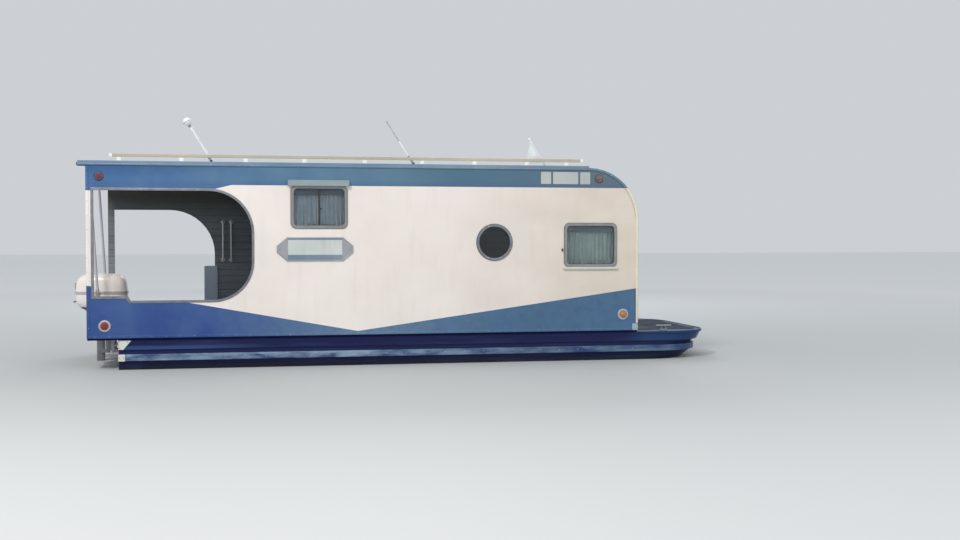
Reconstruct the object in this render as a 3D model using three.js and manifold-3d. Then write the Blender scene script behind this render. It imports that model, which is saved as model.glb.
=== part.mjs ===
// A small cabin houseboat: a blue scow hull, a hollow caravan-like cabin with an open aft
// porch, an outboard motor on a stern bracket, and light fittings on the roof.
// Millimetres. Origin at the waterline, on the centreline, amidships. +X is forward,
// +Y is port and +Z is up.

import * as THREE from "three";
import { mergeVertices } from "three/addons/utils/BufferGeometryUtils.js";
import Module from "manifold-3d";

const wasm = await Module();
wasm.setup();

// Driving dimensions.

const SEAT = 0.3; // gap left between pieces that rest on each other
const STARBOARD = -1;
const PORT = 1;
const SIDES = [["starboard", STARBOARD], ["port", PORT]];

const HULL = { transom: -3600, deck: 350, arcSteps: 10 };
// Hull outlines from the bottom up: height, half beam, how far forward it reaches, corner radius.
const HULL_LEVELS = [
  { z: -140, halfBeam: 1000, reach: 2950, corner: 450 },
  { z: -70, halfBeam: 1110, reach: 3270, corner: 520 },
  { z: 0, halfBeam: 1160, reach: 3490, corner: 560 },
  { z: 100, halfBeam: 1168, reach: 3640, corner: 580 },
  { z: 195, halfBeam: 1168, reach: 3640, corner: 580 },
  { z: 235, halfBeam: 1170, reach: 3700, corner: 590 },
  { z: 235, halfBeam: 1190, reach: 3730, corner: 600 },
  { z: 350, halfBeam: 1190, reach: 3790, corner: 600 },
];
const RUB_RAIL = { low: 107, high: 183, proud: 42, against: HULL_LEVELS[3] };

const CABIN = {
  aft: -3950, fore: 2740, halfBeam: 1220, wall: 40, foot: 350, wallFoot: 375, sole: 400,
  eaves: 2420, skin: 35, nose: 650, noseSteps: 10,
};
const INNER = CABIN.halfBeam - CABIN.wall;
const ROOF = { aft: -4050, halfWidth: 1225, camber: 40, camberHalf: 1060, strips: 4 };
const NOSE = { x: CABIN.fore - CABIN.nose, z: CABIN.eaves - CABIN.nose };
const WELL = { fore: -3590, halfWidth: 450 };

const BULKHEAD = { aft: -2035, fore: -1995 };
const FRONT = { aft: CABIN.fore - CABIN.skin, fore: CABIN.fore };
const DOOR_GAP = 5;
const AFT_DOOR = { halfWidth: 340, foot: 445, head: 2235, thick: 34 };
const FRONT_DOOR = { halfWidth: 310, foot: 430, head: 1740, thick: 28 };
const FRONT_DOOR_PANE = { halfWidth: 190, low: 1130, high: 1630, corner: 40 };
const WINDSCREEN = { near: 420, far: 1080, low: 1150, high: 1650, corner: 50 };
const HINGE = { radius: 7, knuckle: 30, leaf: 5, reach: 40, off: 7.5, bite: 3 };
const AFT_HINGE_HEIGHTS = [620, 1320, 2030];
const FRONT_HINGE_HEIGHTS = [520, 1050, 1620];

// Side windows: the outside of each frame.
const LONG_WINDOW = { x0: -1604, x1: -932, z0: 1660, z1: 2168, corner: 45, bar: 34 };
const MULLION = { x: -1268, halfWidth: 11 };
const FORE_WINDOW = { x0: 1772, x1: 2452, z0: 1182, z1: 1728, corner: 45, bar: 34 };
const PORTHOLE = { x: 880, z: 1490, outer: 224, hole: 204, inner: 194 };
const FRAME_PROUD = 14;
const GLASS = { thick: 6, recess: 10 };
const DRIP_CAP = { x0: -1640, x1: -910, z0: 2166, z1: 2236, proud: 45 };
// Curtains hang on the walls' inner faces and reach past each window's hole.
const CURTAIN = { thick: 24, over: 25 };
const PLAQUE = { x: -1318, z: 1411, halfWidth: 455, halfHeight: 144, shoulder: 330, tip: 40, thick: 12 };

// Porch openings. The port one is the boarding side: lower, shorter and cut down to a step.
const PORCH_STARBOARD = {
  aft: -3870, fore: -2060, head: 2102, sill: 810, ledge: 864, ledgeEnd: -3490, slope: 30,
  upperCorner: 500, lowerCorner: 455,
};
const PORCH_PORT = { aft: -3870, fore: -2540, head: 1925, sill: 560, upperCorner: 600, lowerCorner: 150 };
const COAMING = { aft: -3930, fore: -3880, head: 850, sideFore: -3602, sideThick: 25, sideHead: 640 };
const STRUT = { y: 480, radius: 16, footX: -3905, headX: -4000 };

const RAIL = {
  aft: -3680, fore: 2010, near: 1183, far: 1213, low: 2490, high: 2525, footLength: 34,
  feet: [-3575, -2870, -2130, -1440, -720, -20, 630, 1290, 1800],
};

// Clearance lamps on each side wall.
const LAMPS = [
  { name: "lamp_aft_upper", x: -3800, z: 2260, colour: "lampRed" },
  { name: "lamp_aft_lower", x: -3750, z: 520, colour: "lampRed" },
  { name: "lamp_fore_upper", x: 2220, z: 2285, colour: "lampAmber" },
  { name: "lamp_fore_lower", x: 2540, z: 580, colour: "lampAmber" },
];

// Raked staffs on the starboard edge of the roof: foot, rake from upright, length, radius.
const STAFF_Y = -1130;
const PIVOT_RISE = 34;
const STAFFS = [
  { name: "light_staff", x: -2530, rake: 31, length: 500, radius: 11, ball: 52 },
  { name: "antenna", x: -118, rake: 33, length: 590, radius: 6, ball: 10 },
];
const EAR = {
  gap: 12, thick: 7, halfLength: 16, crown: 12, eye: 14, pin: 5, play: 0.4,
  base: 8, sink: 6, baseHalfLength: 32, baseHalfWidth: 26,
};
const FLAGSTAFF = { x: 1558, rake: 32, length: 395, radius: 9, foot: 26, footThick: 8, sink: 2 };
const PENNANT = { top: 385, foot: 70, halfThick: 3, foldFore: 20, foldAft: -30, low: 2472, fly: 2520 };

const CLEAT = {
  x: 3180, y: 940, length: 210, height: 58, radius: 12,
  footHalfLength: 45, footHalfWidth: 20, footThick: 12, postOff: 28, post: 10,
};
const FOREDECK = { aft: 2800, fore: 3690, halfWidth: 840, corner: 150, thick: 4 };

const BRACKET = { padFore: -3600, padAft: -3618, low: 60, high: 330, halfWidth: 150, overlap: 10 };
const ARM = { near: 108, far: 128, depth: 36 };
const ARM_HEIGHTS = [{ pad: 320, board: 200 }, { pad: 140, board: 150 }];
const MOTOR_BOARD = { fore: -3745, aft: -3785, low: 110, high: 450 };
const CLAMP = { aft: -3838, low: 130, crown: 530, lip: -3712, lipLow: 330, lipHigh: 490, chamfer: -3735 };
const TILT = { x: -3770, z: 500, shaft: 14, hub: 28, halfWidth: 60, cheekNear: 70, cheekFar: 88 };
const STEER = { x: -3840, pin: 12, play: 0.6, tube: 30, low: 160, high: 535 };
const SWIVEL_BLOCK = { halfWidth: 24, low: 462, high: 524 };
const LEG = { fore: -3875, aft: -3975, halfThick: 28, head: 620, pinLow: 120, pinHigh: 570 };
const YOKE = { aft: -3955, fore: -3815, halfWidth: 34, spans: [[545, 600], [100, 150]] };
const PLATE = { aft: -4170, fore: -3845, halfWidth: 85, top: -185, thick: 8 };
const SKEG = { halfThick: 7, outline: [[-3880, -350], [-4060, -350], [-4070, -520], [-4000, -520]] };
// Gearcase from its nose aft: radius and distance.
const GEARCASE_NOSE = -3808;
const GEARCASE_PROFILE = [[0, 0], [24, 16], [42, 60], [48, 120], [46, 220], [38, 282], [0, 282]];
const PROP = {
  z: -350, hubFore: -4090 - SEAT, hubAft: -4180, hub: 38, radius: 140,
  blades: 3, pitch: 28, bladeHalfWidth: 48, bladeHalfLength: 60, bladeThick: 6,
};

// The helm stands against the front wall. Its dash slopes from dashLow up to the top.
const HELM = {
  near: -1000, far: -500, aft: 2350, knee: 860, dashAft: 2380, dashLow: 900, topAft: 2500, top: 1110,
  wheelX: 2440, wheelZ: 1005, wheel: 165, grip: 12, off: 70, spoke: 8, hub: 26, hubProud: 14,
};

const COLOURS = {
  hullBlue: 0x2a4675, trimBlue: 0x7d93b0, bandBlue: 0x4f7db0, cream: 0xe8ded8, white: 0xf0ece6,
  glass: 0x9fb3b5, aluminium: 0xb9bcc0, lampRed: 0xb3332c, lampAmber: 0xd9912e, grey: 0x5c6066,
  plaque: 0xd5d8d6, wood: 0x8a6a48, pennant: 0xeef1f1, deck: 0x6f7f93, curtain: 0x8f979a,
};

// Solids and geometries.

function toSolid(geometry) {
  const bare = geometry.clone();
  bare.deleteAttribute("normal");
  bare.deleteAttribute("uv");
  const merged = mergeVertices(bare, 1e-3);
  return new wasm.Manifold(new wasm.Mesh({
    numProp: 3,
    vertProperties: new Float32Array(merged.attributes.position.array),
    triVerts: new Uint32Array(merged.index.array),
  }));
}

function toGeometry(solid) {
  const mesh = solid.getMesh();
  const geometry = new THREE.BufferGeometry();
  geometry.setAttribute("position", new THREE.BufferAttribute(new Float32Array(mesh.vertProperties), 3));
  geometry.setIndex(new THREE.BufferAttribute(new Uint32Array(mesh.triVerts), 1));
  geometry.computeVertexNormals();
  return geometry;
}

function joined(geometries) {
  return toGeometry(geometries.map(toSolid).reduce((whole, next) => whole.add(next)));
}

function cut(geometry, cutters) {
  return toGeometry(cutters.map(toSolid).reduce((whole, next) => whole.subtract(next), toSolid(geometry)));
}

// Flat shapes. Their two axes are named by the plate function that uses them.

function outline(points) {
  return new THREE.Shape(points.map(([u, v]) => new THREE.Vector2(u, v)));
}

function rectangle(u0, v0, u1, v1) {
  return outline([[u0, v0], [u1, v0], [u1, v1], [u0, v1]]);
}

function roundedRectangle(u0, v0, u1, v1, radius) {
  const quarter = Math.PI / 2;
  const shape = new THREE.Shape();
  shape.moveTo(u0 + radius, v0);
  shape.lineTo(u1 - radius, v0);
  shape.absarc(u1 - radius, v0 + radius, radius, -quarter, 0);
  shape.lineTo(u1, v1 - radius);
  shape.absarc(u1 - radius, v1 - radius, radius, 0, quarter);
  shape.lineTo(u0 + radius, v1);
  shape.absarc(u0 + radius, v1 - radius, radius, quarter, 2 * quarter);
  shape.lineTo(u0, v0 + radius);
  shape.absarc(u0 + radius, v0 + radius, radius, 2 * quarter, 3 * quarter);
  return shape;
}

function circle(u, v, radius) {
  const shape = new THREE.Shape();
  shape.absarc(u, v, radius, 0, 2 * Math.PI);
  return shape;
}

function withHoles(shape, holes) {
  shape.holes.push(...holes);
  return shape;
}

function extrude(shape, depth, curveSegments = 4) {
  return new THREE.ExtrudeGeometry(shape, { depth, bevelEnabled: false, curveSegments });
}

// A plate seen from above: the shape is in X and Y.
function deckPlate(shape, z0, z1, curveSegments) {
  return extrude(shape, z1 - z0, curveSegments).translate(0, 0, z0);
}

// A plate seen from the side: the shape is in X and Z.
function sidePlate(shape, y0, y1, curveSegments) {
  return extrude(shape, y1 - y0, curveSegments).rotateX(Math.PI / 2).translate(0, y1, 0);
}

// A plate seen from the bow: the shape is in Y and Z.
const ACROSS = new THREE.Matrix4().set(0, 0, 1, 0, 1, 0, 0, 0, 0, 1, 0, 0, 0, 0, 0, 1);
function crossPlate(shape, x0, x1, curveSegments) {
  return extrude(shape, x1 - x0, curveSegments).applyMatrix4(ACROSS).translate(x0, 0, 0);
}

function box(x0, x1, y0, y1, z0, z1) {
  return new THREE.BoxGeometry(x1 - x0, y1 - y0, z1 - z0)
    .translate((x0 + x1) / 2, (y0 + y1) / 2, (z0 + z1) / 2);
}

// A round bar along one axis, centred on the two other coordinates.
function barX(x0, x1, y, z, radius, sides = 16) {
  return new THREE.CylinderGeometry(radius, radius, x1 - x0, sides)
    .rotateZ(Math.PI / 2).translate((x0 + x1) / 2, y, z);
}

function barY(y0, y1, x, z, radius, sides = 16) {
  return new THREE.CylinderGeometry(radius, radius, y1 - y0, sides).translate(x, (y0 + y1) / 2, z);
}

function barZ(z0, z1, x, y, radius, sides = 16) {
  return new THREE.CylinderGeometry(radius, radius, z1 - z0, sides)
    .rotateX(Math.PI / 2).translate(x, y, (z0 + z1) / 2);
}

// The span in Y of a layer of one side: from an inner to an outer distance off the centreline.
function layer(side, inner, outer) {
  return side === PORT ? [inner, outer] : [-outer, -inner];
}

// A closed skin over rings with equal numbers of points, capped at both ends. flat gives the
// two coordinates in which the rings run anticlockwise as seen from the last ring's side.
function loft(rings, flat) {
  const count = rings[0].length;
  const area = THREE.ShapeUtils.area(rings[0].map((point) => new THREE.Vector2(...flat(point))));
  const turned = area < 0 ? rings.map((ring) => [...ring].reverse()) : rings;
  const index = [];
  for (let k = 0; k + 1 < turned.length; k += 1) {
    for (let i = 0; i < count; i += 1) {
      const j = (i + 1) % count;
      const [a, b, c, d] = [k * count + i, k * count + j, (k + 1) * count + j, (k + 1) * count + i];
      index.push(a, b, c, a, c, d);
    }
  }
  const last = (turned.length - 1) * count;
  const contour = (ring) => ring.map((point) => new THREE.Vector2(...flat(point)));
  for (const [a, b, c] of THREE.ShapeUtils.triangulateShape(contour(turned[0]), [])) {
    index.push(c, b, a);
  }
  for (const [a, b, c] of THREE.ShapeUtils.triangulateShape(contour(turned.at(-1)), [])) {
    index.push(last + a, last + b, last + c);
  }
  const geometry = new THREE.BufferGeometry();
  geometry.setAttribute("position", new THREE.Float32BufferAttribute(turned.flat(2), 3));
  geometry.setIndex(index);
  geometry.computeVertexNormals();
  return geometry;
}

const fromAbove = ([x, y]) => [x, y];
const fromPort = ([x, , z]) => [z, x];

// Pieces, each a mesh with its own material.

const houseboat = new THREE.Group();

function piece(name, geometry, colour, extra = {}) {
  const material = new THREE.MeshStandardMaterial({
    color: COLOURS[colour], roughness: 0.5, metalness: 0, ...extra,
  });
  const mesh = new THREE.Mesh(geometry, material);
  mesh.name = name;
  return mesh;
}

function place(...args) {
  const mesh = piece(...args);
  houseboat.add(mesh);
  return mesh;
}

// Hull and rub rail.

function hullOutline({ halfBeam, reach, corner }, proud = 0) {
  const points = [];
  for (const side of [STARBOARD, PORT]) {
    for (let step = 0; step <= HULL.arcSteps; step += 1) {
      const turn = (step / HULL.arcSteps) * (Math.PI / 2);
      const angle = side === STARBOARD ? turn - Math.PI / 2 : turn;
      points.push([
        reach - corner + (corner + proud) * Math.cos(angle),
        side * (halfBeam - corner) + (corner + proud) * Math.sin(angle),
      ]);
    }
  }
  return [[HULL.transom, -halfBeam - proud], ...points, [HULL.transom, halfBeam + proud]];
}

place("hull", loft(HULL_LEVELS.map((level) => hullOutline(level).map(([x, y]) => [x, y, level.z])),
  fromAbove), "hullBlue");

const railOutline = [...hullOutline(RUB_RAIL.against, RUB_RAIL.proud),
  ...hullOutline(RUB_RAIL.against, SEAT).reverse()];
place("rub_rail", deckPlate(outline(railOutline), RUB_RAIL.low, RUB_RAIL.high), "trimBlue");

// Cabin shell.

function camber(y) {
  const share = Math.abs(y) / ROOF.camberHalf;
  return share < 1 ? ROOF.camber * (1 - share * share) : 0;
}

const ROOF_LINES = [-ROOF.halfWidth];
for (let strip = -ROOF.strips; strip <= ROOF.strips; strip += 1) {
  ROOF_LINES.push((ROOF.camberHalf * strip) / ROOF.strips);
}
ROOF_LINES.push(ROOF.halfWidth);

// Points on the roof's curved front, from the roof down to the front wall.
function noseArc(inset) {
  const radius = CABIN.nose - inset;
  const points = [];
  for (let step = 0; step <= CABIN.noseSteps; step += 1) {
    const angle = (1 - step / CABIN.noseSteps) * (Math.PI / 2);
    points.push([NOSE.x + radius * Math.cos(angle), NOSE.z + radius * Math.sin(angle), Math.sin(angle)]);
  }
  return points;
}

function roofRing(y) {
  const outer = [[ROOF.aft, CABIN.eaves, 1], ...noseArc(0)];
  const inner = [[ROOF.aft, CABIN.eaves - CABIN.skin, 1], ...noseArc(CABIN.skin)].reverse();
  return [...outer, ...inner].map(([x, z, upright]) => [x, y, z + upright * camber(y)]);
}

function staffEars({ x }) {
  const top = CABIN.eaves + camber(STAFF_Y);
  const ears = [EAR.gap, -EAR.gap - EAR.thick].map((y) => box(x - EAR.halfLength, x + EAR.halfLength,
    STAFF_Y + y, STAFF_Y + y + EAR.thick, top, top + PIVOT_RISE + EAR.crown));
  const base = box(x - EAR.baseHalfLength, x + EAR.baseHalfLength,
    STAFF_Y - EAR.baseHalfWidth, STAFF_Y + EAR.baseHalfWidth, top - EAR.sink, top + EAR.base);
  const pinReach = EAR.gap + EAR.thick / 2;
  const pin = barY(STAFF_Y - pinReach, STAFF_Y + pinReach, x, top + PIVOT_RISE, EAR.pin, 12);
  return [base, ...ears, pin];
}

const roofShell = loft(ROOF_LINES.map(roofRing), fromPort);
place("roof", joined([roofShell, ...STAFFS.flatMap(staffEars)]), "white");

function porchStarboard() {
  const { aft, fore, head, sill, ledge, ledgeEnd, slope, upperCorner, lowerCorner } = PORCH_STARBOARD;
  const path = new THREE.Path();
  path.moveTo(aft, ledge);
  path.lineTo(ledgeEnd, ledge);
  path.lineTo(ledgeEnd + slope, sill);
  path.lineTo(fore - lowerCorner, sill);
  path.absarc(fore - lowerCorner, sill + lowerCorner, lowerCorner, -Math.PI / 2, 0);
  path.lineTo(fore, head - upperCorner);
  path.absarc(fore - upperCorner, head - upperCorner, upperCorner, 0, Math.PI / 2);
  path.lineTo(aft, head);
  return path;
}

function porchPort() {
  const { aft, fore, head, sill, upperCorner, lowerCorner } = PORCH_PORT;
  const path = new THREE.Path();
  path.moveTo(aft, sill);
  path.lineTo(fore - lowerCorner, sill);
  path.absarc(fore - lowerCorner, sill + lowerCorner, lowerCorner, -Math.PI / 2, 0);
  path.lineTo(fore, head - upperCorner);
  path.absarc(fore - upperCorner, head - upperCorner, upperCorner, 0, Math.PI / 2);
  path.lineTo(aft, head);
  return path;
}

function windowHole({ x0, x1, z0, z1, corner, bar }, clearance = 0) {
  const inset = bar + clearance;
  return roundedRectangle(x0 + inset, z0 + inset, x1 - inset, z1 - inset, corner);
}

function sideWall(side) {
  const top = noseArc(CABIN.skin + SEAT).map(([x, z]) => [x, z]).reverse();
  const shape = outline([
    [CABIN.aft, CABIN.wallFoot], [CABIN.fore, CABIN.wallFoot], [CABIN.fore, NOSE.z - SEAT],
    ...top, [CABIN.aft, CABIN.eaves - CABIN.skin - SEAT],
  ]);
  const porch = side === PORT ? porchPort() : porchStarboard();
  withHoles(shape, [porch, windowHole(LONG_WINDOW), windowHole(FORE_WINDOW),
    circle(PORTHOLE.x, PORTHOLE.z, PORTHOLE.hole)]);
  return sidePlate(shape, ...layer(side, INNER, CABIN.halfBeam), 10);
}

const floorShape = outline([
  [CABIN.aft, -INNER], [FRONT.fore, -INNER], [FRONT.fore, INNER], [CABIN.aft, INNER],
  [CABIN.aft, WELL.halfWidth], [WELL.fore, WELL.halfWidth],
  [WELL.fore, -WELL.halfWidth], [CABIN.aft, -WELL.halfWidth],
]);
place("cabin_floor", deckPlate(floorShape, CABIN.foot, CABIN.sole), "deck");

for (const [name, side] of SIDES) {
  place(`side_wall_${name}`, sideWall(side), "cream");
}

// Hinges: on each, a fixed knuckle with a door knuckle standing on it. ahead is the direction
// in X from the wall to the hinge line, and the fixed leaf lies towards port.
function hinges(faceX, jambY, ahead, heights) {
  const axisX = faceX + ahead * HINGE.off;
  const xs = [faceX, faceX + ahead * HINGE.leaf].sort((a, b) => a - b);
  const doorXs = [faceX - ahead * HINGE.bite, faceX + ahead * HINGE.leaf].sort((a, b) => a - b);
  const fixed = [];
  const moving = [];
  for (const z of heights) {
    fixed.push(barZ(z, z + HINGE.knuckle, axisX, jambY, HINGE.radius, 12));
    fixed.push(box(...xs, jambY + HINGE.bite, jambY + HINGE.reach, z, z + HINGE.knuckle));
    const low = z + HINGE.knuckle + SEAT;
    moving.push(barZ(low, low + HINGE.knuckle, axisX, jambY, HINGE.radius, 12));
    moving.push(box(...doorXs, jambY - HINGE.reach, jambY - HINGE.bite, low, low + HINGE.knuckle));
  }
  return { fixed, moving };
}

const aftHinges = hinges(BULKHEAD.aft, AFT_DOOR.halfWidth, -1, AFT_HINGE_HEIGHTS);
const frontHinges = hinges(FRONT.fore, FRONT_DOOR.halfWidth, 1, FRONT_HINGE_HEIGHTS);

// The bulkhead's head follows the roof's underside.
const bulkheadHead = ROOF_LINES.filter((y) => Math.abs(y) < INNER)
  .map((y) => [y, CABIN.eaves - CABIN.skin + camber(y) - SEAT]);
const bulkheadShape = withHoles(outline([
  [-INNER + SEAT, CABIN.sole + SEAT], [INNER - SEAT, CABIN.sole + SEAT],
  [INNER - SEAT, CABIN.eaves - CABIN.skin - SEAT], ...[...bulkheadHead].reverse(),
  [-INNER + SEAT, CABIN.eaves - CABIN.skin - SEAT],
]), [rectangle(-AFT_DOOR.halfWidth, AFT_DOOR.foot, AFT_DOOR.halfWidth, AFT_DOOR.head)]);
place("aft_bulkhead", joined([
  crossPlate(bulkheadShape, BULKHEAD.aft, BULKHEAD.fore), ...aftHinges.fixed,
]), "cream");

function windscreenHole(side, clearance = 0) {
  const [y0, y1] = layer(side, WINDSCREEN.near + clearance, WINDSCREEN.far - clearance);
  return roundedRectangle(y0, WINDSCREEN.low + clearance, y1, WINDSCREEN.high - clearance, WINDSCREEN.corner);
}

const frontShape = withHoles(
  rectangle(-INNER + SEAT, CABIN.sole + SEAT, INNER - SEAT, NOSE.z - SEAT),
  [rectangle(-FRONT_DOOR.halfWidth, FRONT_DOOR.foot, FRONT_DOOR.halfWidth, FRONT_DOOR.head),
    windscreenHole(STARBOARD), windscreenHole(PORT)],
);
place("front_wall", joined([crossPlate(frontShape, FRONT.aft, FRONT.fore), ...frontHinges.fixed]), "cream");

// Doors.

function doorShape({ halfWidth, foot, head }) {
  return rectangle(-halfWidth + DOOR_GAP, foot + DOOR_GAP, halfWidth - DOOR_GAP, head - DOOR_GAP);
}

place("aft_door", joined([
  crossPlate(doorShape(AFT_DOOR), BULKHEAD.aft, BULKHEAD.aft + AFT_DOOR.thick), ...aftHinges.moving,
]), "white");

function doorPane(clearance = 0) {
  const { halfWidth, low, high, corner } = FRONT_DOOR_PANE;
  const reach = halfWidth - clearance;
  return roundedRectangle(-reach, low + clearance, reach, high - clearance, corner);
}

const frontDoorLeaf = crossPlate(withHoles(doorShape(FRONT_DOOR), [doorPane()]),
  FRONT.fore - FRONT_DOOR.thick, FRONT.fore);
place("front_door", joined([frontDoorLeaf, ...frontHinges.moving]), "white");

const GLASS_X = FRONT.fore - GLASS.recess;
const clear = { transparent: true, opacity: 0.4, roughness: 0.08 };
place("front_door_glass", crossPlate(doorPane(SEAT), GLASS_X - GLASS.thick, GLASS_X), "glass", clear);
for (const [name, side] of SIDES) {
  const pane = crossPlate(windscreenHole(side, SEAT), GLASS_X - GLASS.thick, GLASS_X);
  place(`windscreen_${name}`, pane, "glass", clear);
}

// Side windows, curtains, portholes, plaques and lamps.

function windowFrame(window, proud) {
  const { x0, x1, z0, z1, corner, bar } = window;
  const outside = roundedRectangle(x0, z0, x1, z1, corner + bar / 2);
  return sidePlate(withHoles(outside, [windowHole(window, -1)]), ...proud);
}

function curtain({ x0, x1, z0, z1, bar }, side) {
  const inset = bar - CURTAIN.over;
  const across = layer(side, INNER - SEAT - CURTAIN.thick, INNER - SEAT);
  return box(x0 + inset, x1 - inset, ...across, z0 + inset, z1 - inset);
}

for (const [name, side] of SIDES) {
  const proud = layer(side, CABIN.halfBeam + SEAT, CABIN.halfBeam + FRAME_PROUD);
  const pane = layer(side, CABIN.halfBeam - GLASS.recess - GLASS.thick, CABIN.halfBeam - GLASS.recess);
  const { z0, z1, bar } = LONG_WINDOW;
  const mullion = box(MULLION.x - MULLION.halfWidth, MULLION.x + MULLION.halfWidth, ...proud,
    z0 + bar / 2, z1 - bar / 2);
  const capAcross = layer(side, CABIN.halfBeam + SEAT, CABIN.halfBeam + DRIP_CAP.proud);
  const cap = box(DRIP_CAP.x0, DRIP_CAP.x1, ...capAcross, DRIP_CAP.z0, DRIP_CAP.z1);
  place(`long_window_frame_${name}`, joined([windowFrame(LONG_WINDOW, proud), mullion, cap]), "aluminium");
  place(`long_window_glass_${name}`, sidePlate(windowHole(LONG_WINDOW, SEAT), ...pane), "glass", clear);
  place(`long_window_curtain_${name}`, curtain(LONG_WINDOW, side), "curtain");
  place(`fore_window_frame_${name}`, windowFrame(FORE_WINDOW, proud), "aluminium");
  place(`fore_window_glass_${name}`, sidePlate(windowHole(FORE_WINDOW, SEAT), ...pane), "glass", clear);
  place(`fore_window_curtain_${name}`, curtain(FORE_WINDOW, side), "curtain");

  const ring = withHoles(circle(PORTHOLE.x, PORTHOLE.z, PORTHOLE.outer),
    [circle(PORTHOLE.x, PORTHOLE.z, PORTHOLE.inner)]);
  place(`porthole_ring_${name}`, sidePlate(ring, ...proud, 20), "aluminium");
  place(`porthole_glass_${name}`,
    sidePlate(circle(PORTHOLE.x, PORTHOLE.z, PORTHOLE.hole - SEAT), ...pane, 10), "glass", clear);

  const { x, z, halfWidth, halfHeight, shoulder, tip, thick } = PLAQUE;
  const plaque = outline([
    [x - halfWidth, z - tip], [x - shoulder, z - halfHeight], [x + shoulder, z - halfHeight],
    [x + halfWidth, z - tip], [x + halfWidth, z + tip], [x + shoulder, z + halfHeight],
    [x - shoulder, z + halfHeight], [x - halfWidth, z + tip],
  ]);
  const across = layer(side, CABIN.halfBeam + SEAT, CABIN.halfBeam + thick);
  place(`plaque_${name}`, sidePlate(plaque, ...across), "plaque");
}

// Height above the wall and radius of a lamp, from its back to the top of its lens.
const LAMP_PROFILE = [[0, 0], [47, 0], [47, 8], [36, 11], [34, 22], [23, 32], [0, 36]];
for (const [name, side] of SIDES) {
  for (const lamp of LAMPS) {
    const shape = new THREE.LatheGeometry(LAMP_PROFILE.map(([r, h]) => new THREE.Vector2(r, h)), 20);
    const mesh = place(`${lamp.name}_${name}`, shape, lamp.colour);
    mesh.rotation.z = side === PORT ? 0 : Math.PI;
    mesh.position.set(lamp.x, side * (CABIN.halfBeam + SEAT), lamp.z);
  }
}

// Roof rails.

for (const [name, side] of SIDES) {
  const across = layer(side, RAIL.near, RAIL.far);
  const feet = RAIL.feet.map((x) => box(x - RAIL.footLength / 2, x + RAIL.footLength / 2, ...across,
    CABIN.eaves + SEAT, RAIL.low + 10));
  const bar = box(RAIL.aft, RAIL.fore, ...across, RAIL.low, RAIL.high);
  place(`roof_rail_${name}`, joined([bar, ...feet]), "cream");
}

// Raked staffs, turned about the pin between their ears.

for (const { name, x, rake, length, radius, ball } of STAFFS) {
  const eye = barY(-EAR.gap + 5, EAR.gap - 5, 0, 0, EAR.eye);
  const bore = barY(-EAR.gap, EAR.gap, 0, 0, EAR.pin + EAR.play, 12);
  const pole = barZ(8, length, 0, 0, radius, 12);
  const top = new THREE.SphereGeometry(ball, 16, 10).translate(0, 0, length + ball * 0.7);
  const mesh = place(name, cut(joined([eye, pole, top]), [bore]), "white");
  mesh.position.set(x, STAFF_Y, CABIN.eaves + camber(STAFF_Y) + PIVOT_RISE);
  mesh.rotation.y = -THREE.MathUtils.degToRad(rake);
}

// Bow flagstaff with its pennant hanging against it.

const rake = THREE.MathUtils.degToRad(FLAGSTAFF.rake);
const footZ = CABIN.eaves + SEAT;
const staffPole = barZ(0, FLAGSTAFF.length, 0, 0, FLAGSTAFF.radius, 12).rotateY(-rake)
  .translate(FLAGSTAFF.x, STAFF_Y, footZ + FLAGSTAFF.footThick - FLAGSTAFF.sink);
const staffFoot = barZ(footZ, footZ + FLAGSTAFF.footThick, FLAGSTAFF.x, STAFF_Y, FLAGSTAFF.foot);
const underFoot = barZ(footZ - FLAGSTAFF.foot, footZ, FLAGSTAFF.x, STAFF_Y, FLAGSTAFF.foot);
place("flagstaff", cut(joined([staffPole, staffFoot]), [underFoot]), "white");

function alongStaff(distance, off) {
  return [
    FLAGSTAFF.x - distance * Math.sin(rake) - off * Math.cos(rake),
    footZ + FLAGSTAFF.footThick - FLAGSTAFF.sink + distance * Math.cos(rake) - off * Math.sin(rake),
  ];
}
const luffOff = FLAGSTAFF.radius + SEAT;
const pennantTip = alongStaff(PENNANT.top, luffOff);
const pennant = outline([pennantTip, alongStaff(PENNANT.foot, luffOff),
  [pennantTip[0] + PENNANT.foldFore, PENNANT.low], [pennantTip[0] + PENNANT.foldAft, PENNANT.fly]]);
place("pennant", sidePlate(pennant, STAFF_Y - PENNANT.halfThick, STAFF_Y + PENNANT.halfThick), "pennant");

// Stern: coaming beside the motor well, and the roof struts that stand on it.

for (const [name, side] of SIDES) {
  const panel = box(COAMING.aft, COAMING.fore, ...layer(side, WELL.halfWidth, INNER - SEAT),
    CABIN.sole + SEAT, COAMING.head);
  const returnBoard = box(COAMING.fore - 5, COAMING.sideFore,
    ...layer(side, WELL.halfWidth, WELL.halfWidth + COAMING.sideThick), CABIN.sole + SEAT, COAMING.sideHead);
  place(`stern_coaming_${name}`, joined([panel, returnBoard]), "bandBlue");

  const level = (x, z) => Array.from({ length: 12 }, (_, step) => {
    const angle = (step / 12) * 2 * Math.PI;
    return [x + STRUT.radius * Math.cos(angle), side * STRUT.y + STRUT.radius * Math.sin(angle), z];
  });
  const headZ = CABIN.eaves - CABIN.skin + camber(STRUT.y + STRUT.radius) - SEAT;
  place(`roof_strut_${name}`, loft([
    level(STRUT.footX, COAMING.head + SEAT), level(STRUT.headX, headZ),
  ], fromAbove), "aluminium", { metalness: 0.8 });
}

// Foredeck: a thin non-skid panel and two cleats.

const panelShape = roundedRectangle(
  FOREDECK.aft, -FOREDECK.halfWidth, FOREDECK.fore, FOREDECK.halfWidth, FOREDECK.corner);
place("foredeck_panel", deckPlate(panelShape, HULL.deck + SEAT, HULL.deck + FOREDECK.thick, 6), "deck");

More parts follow.
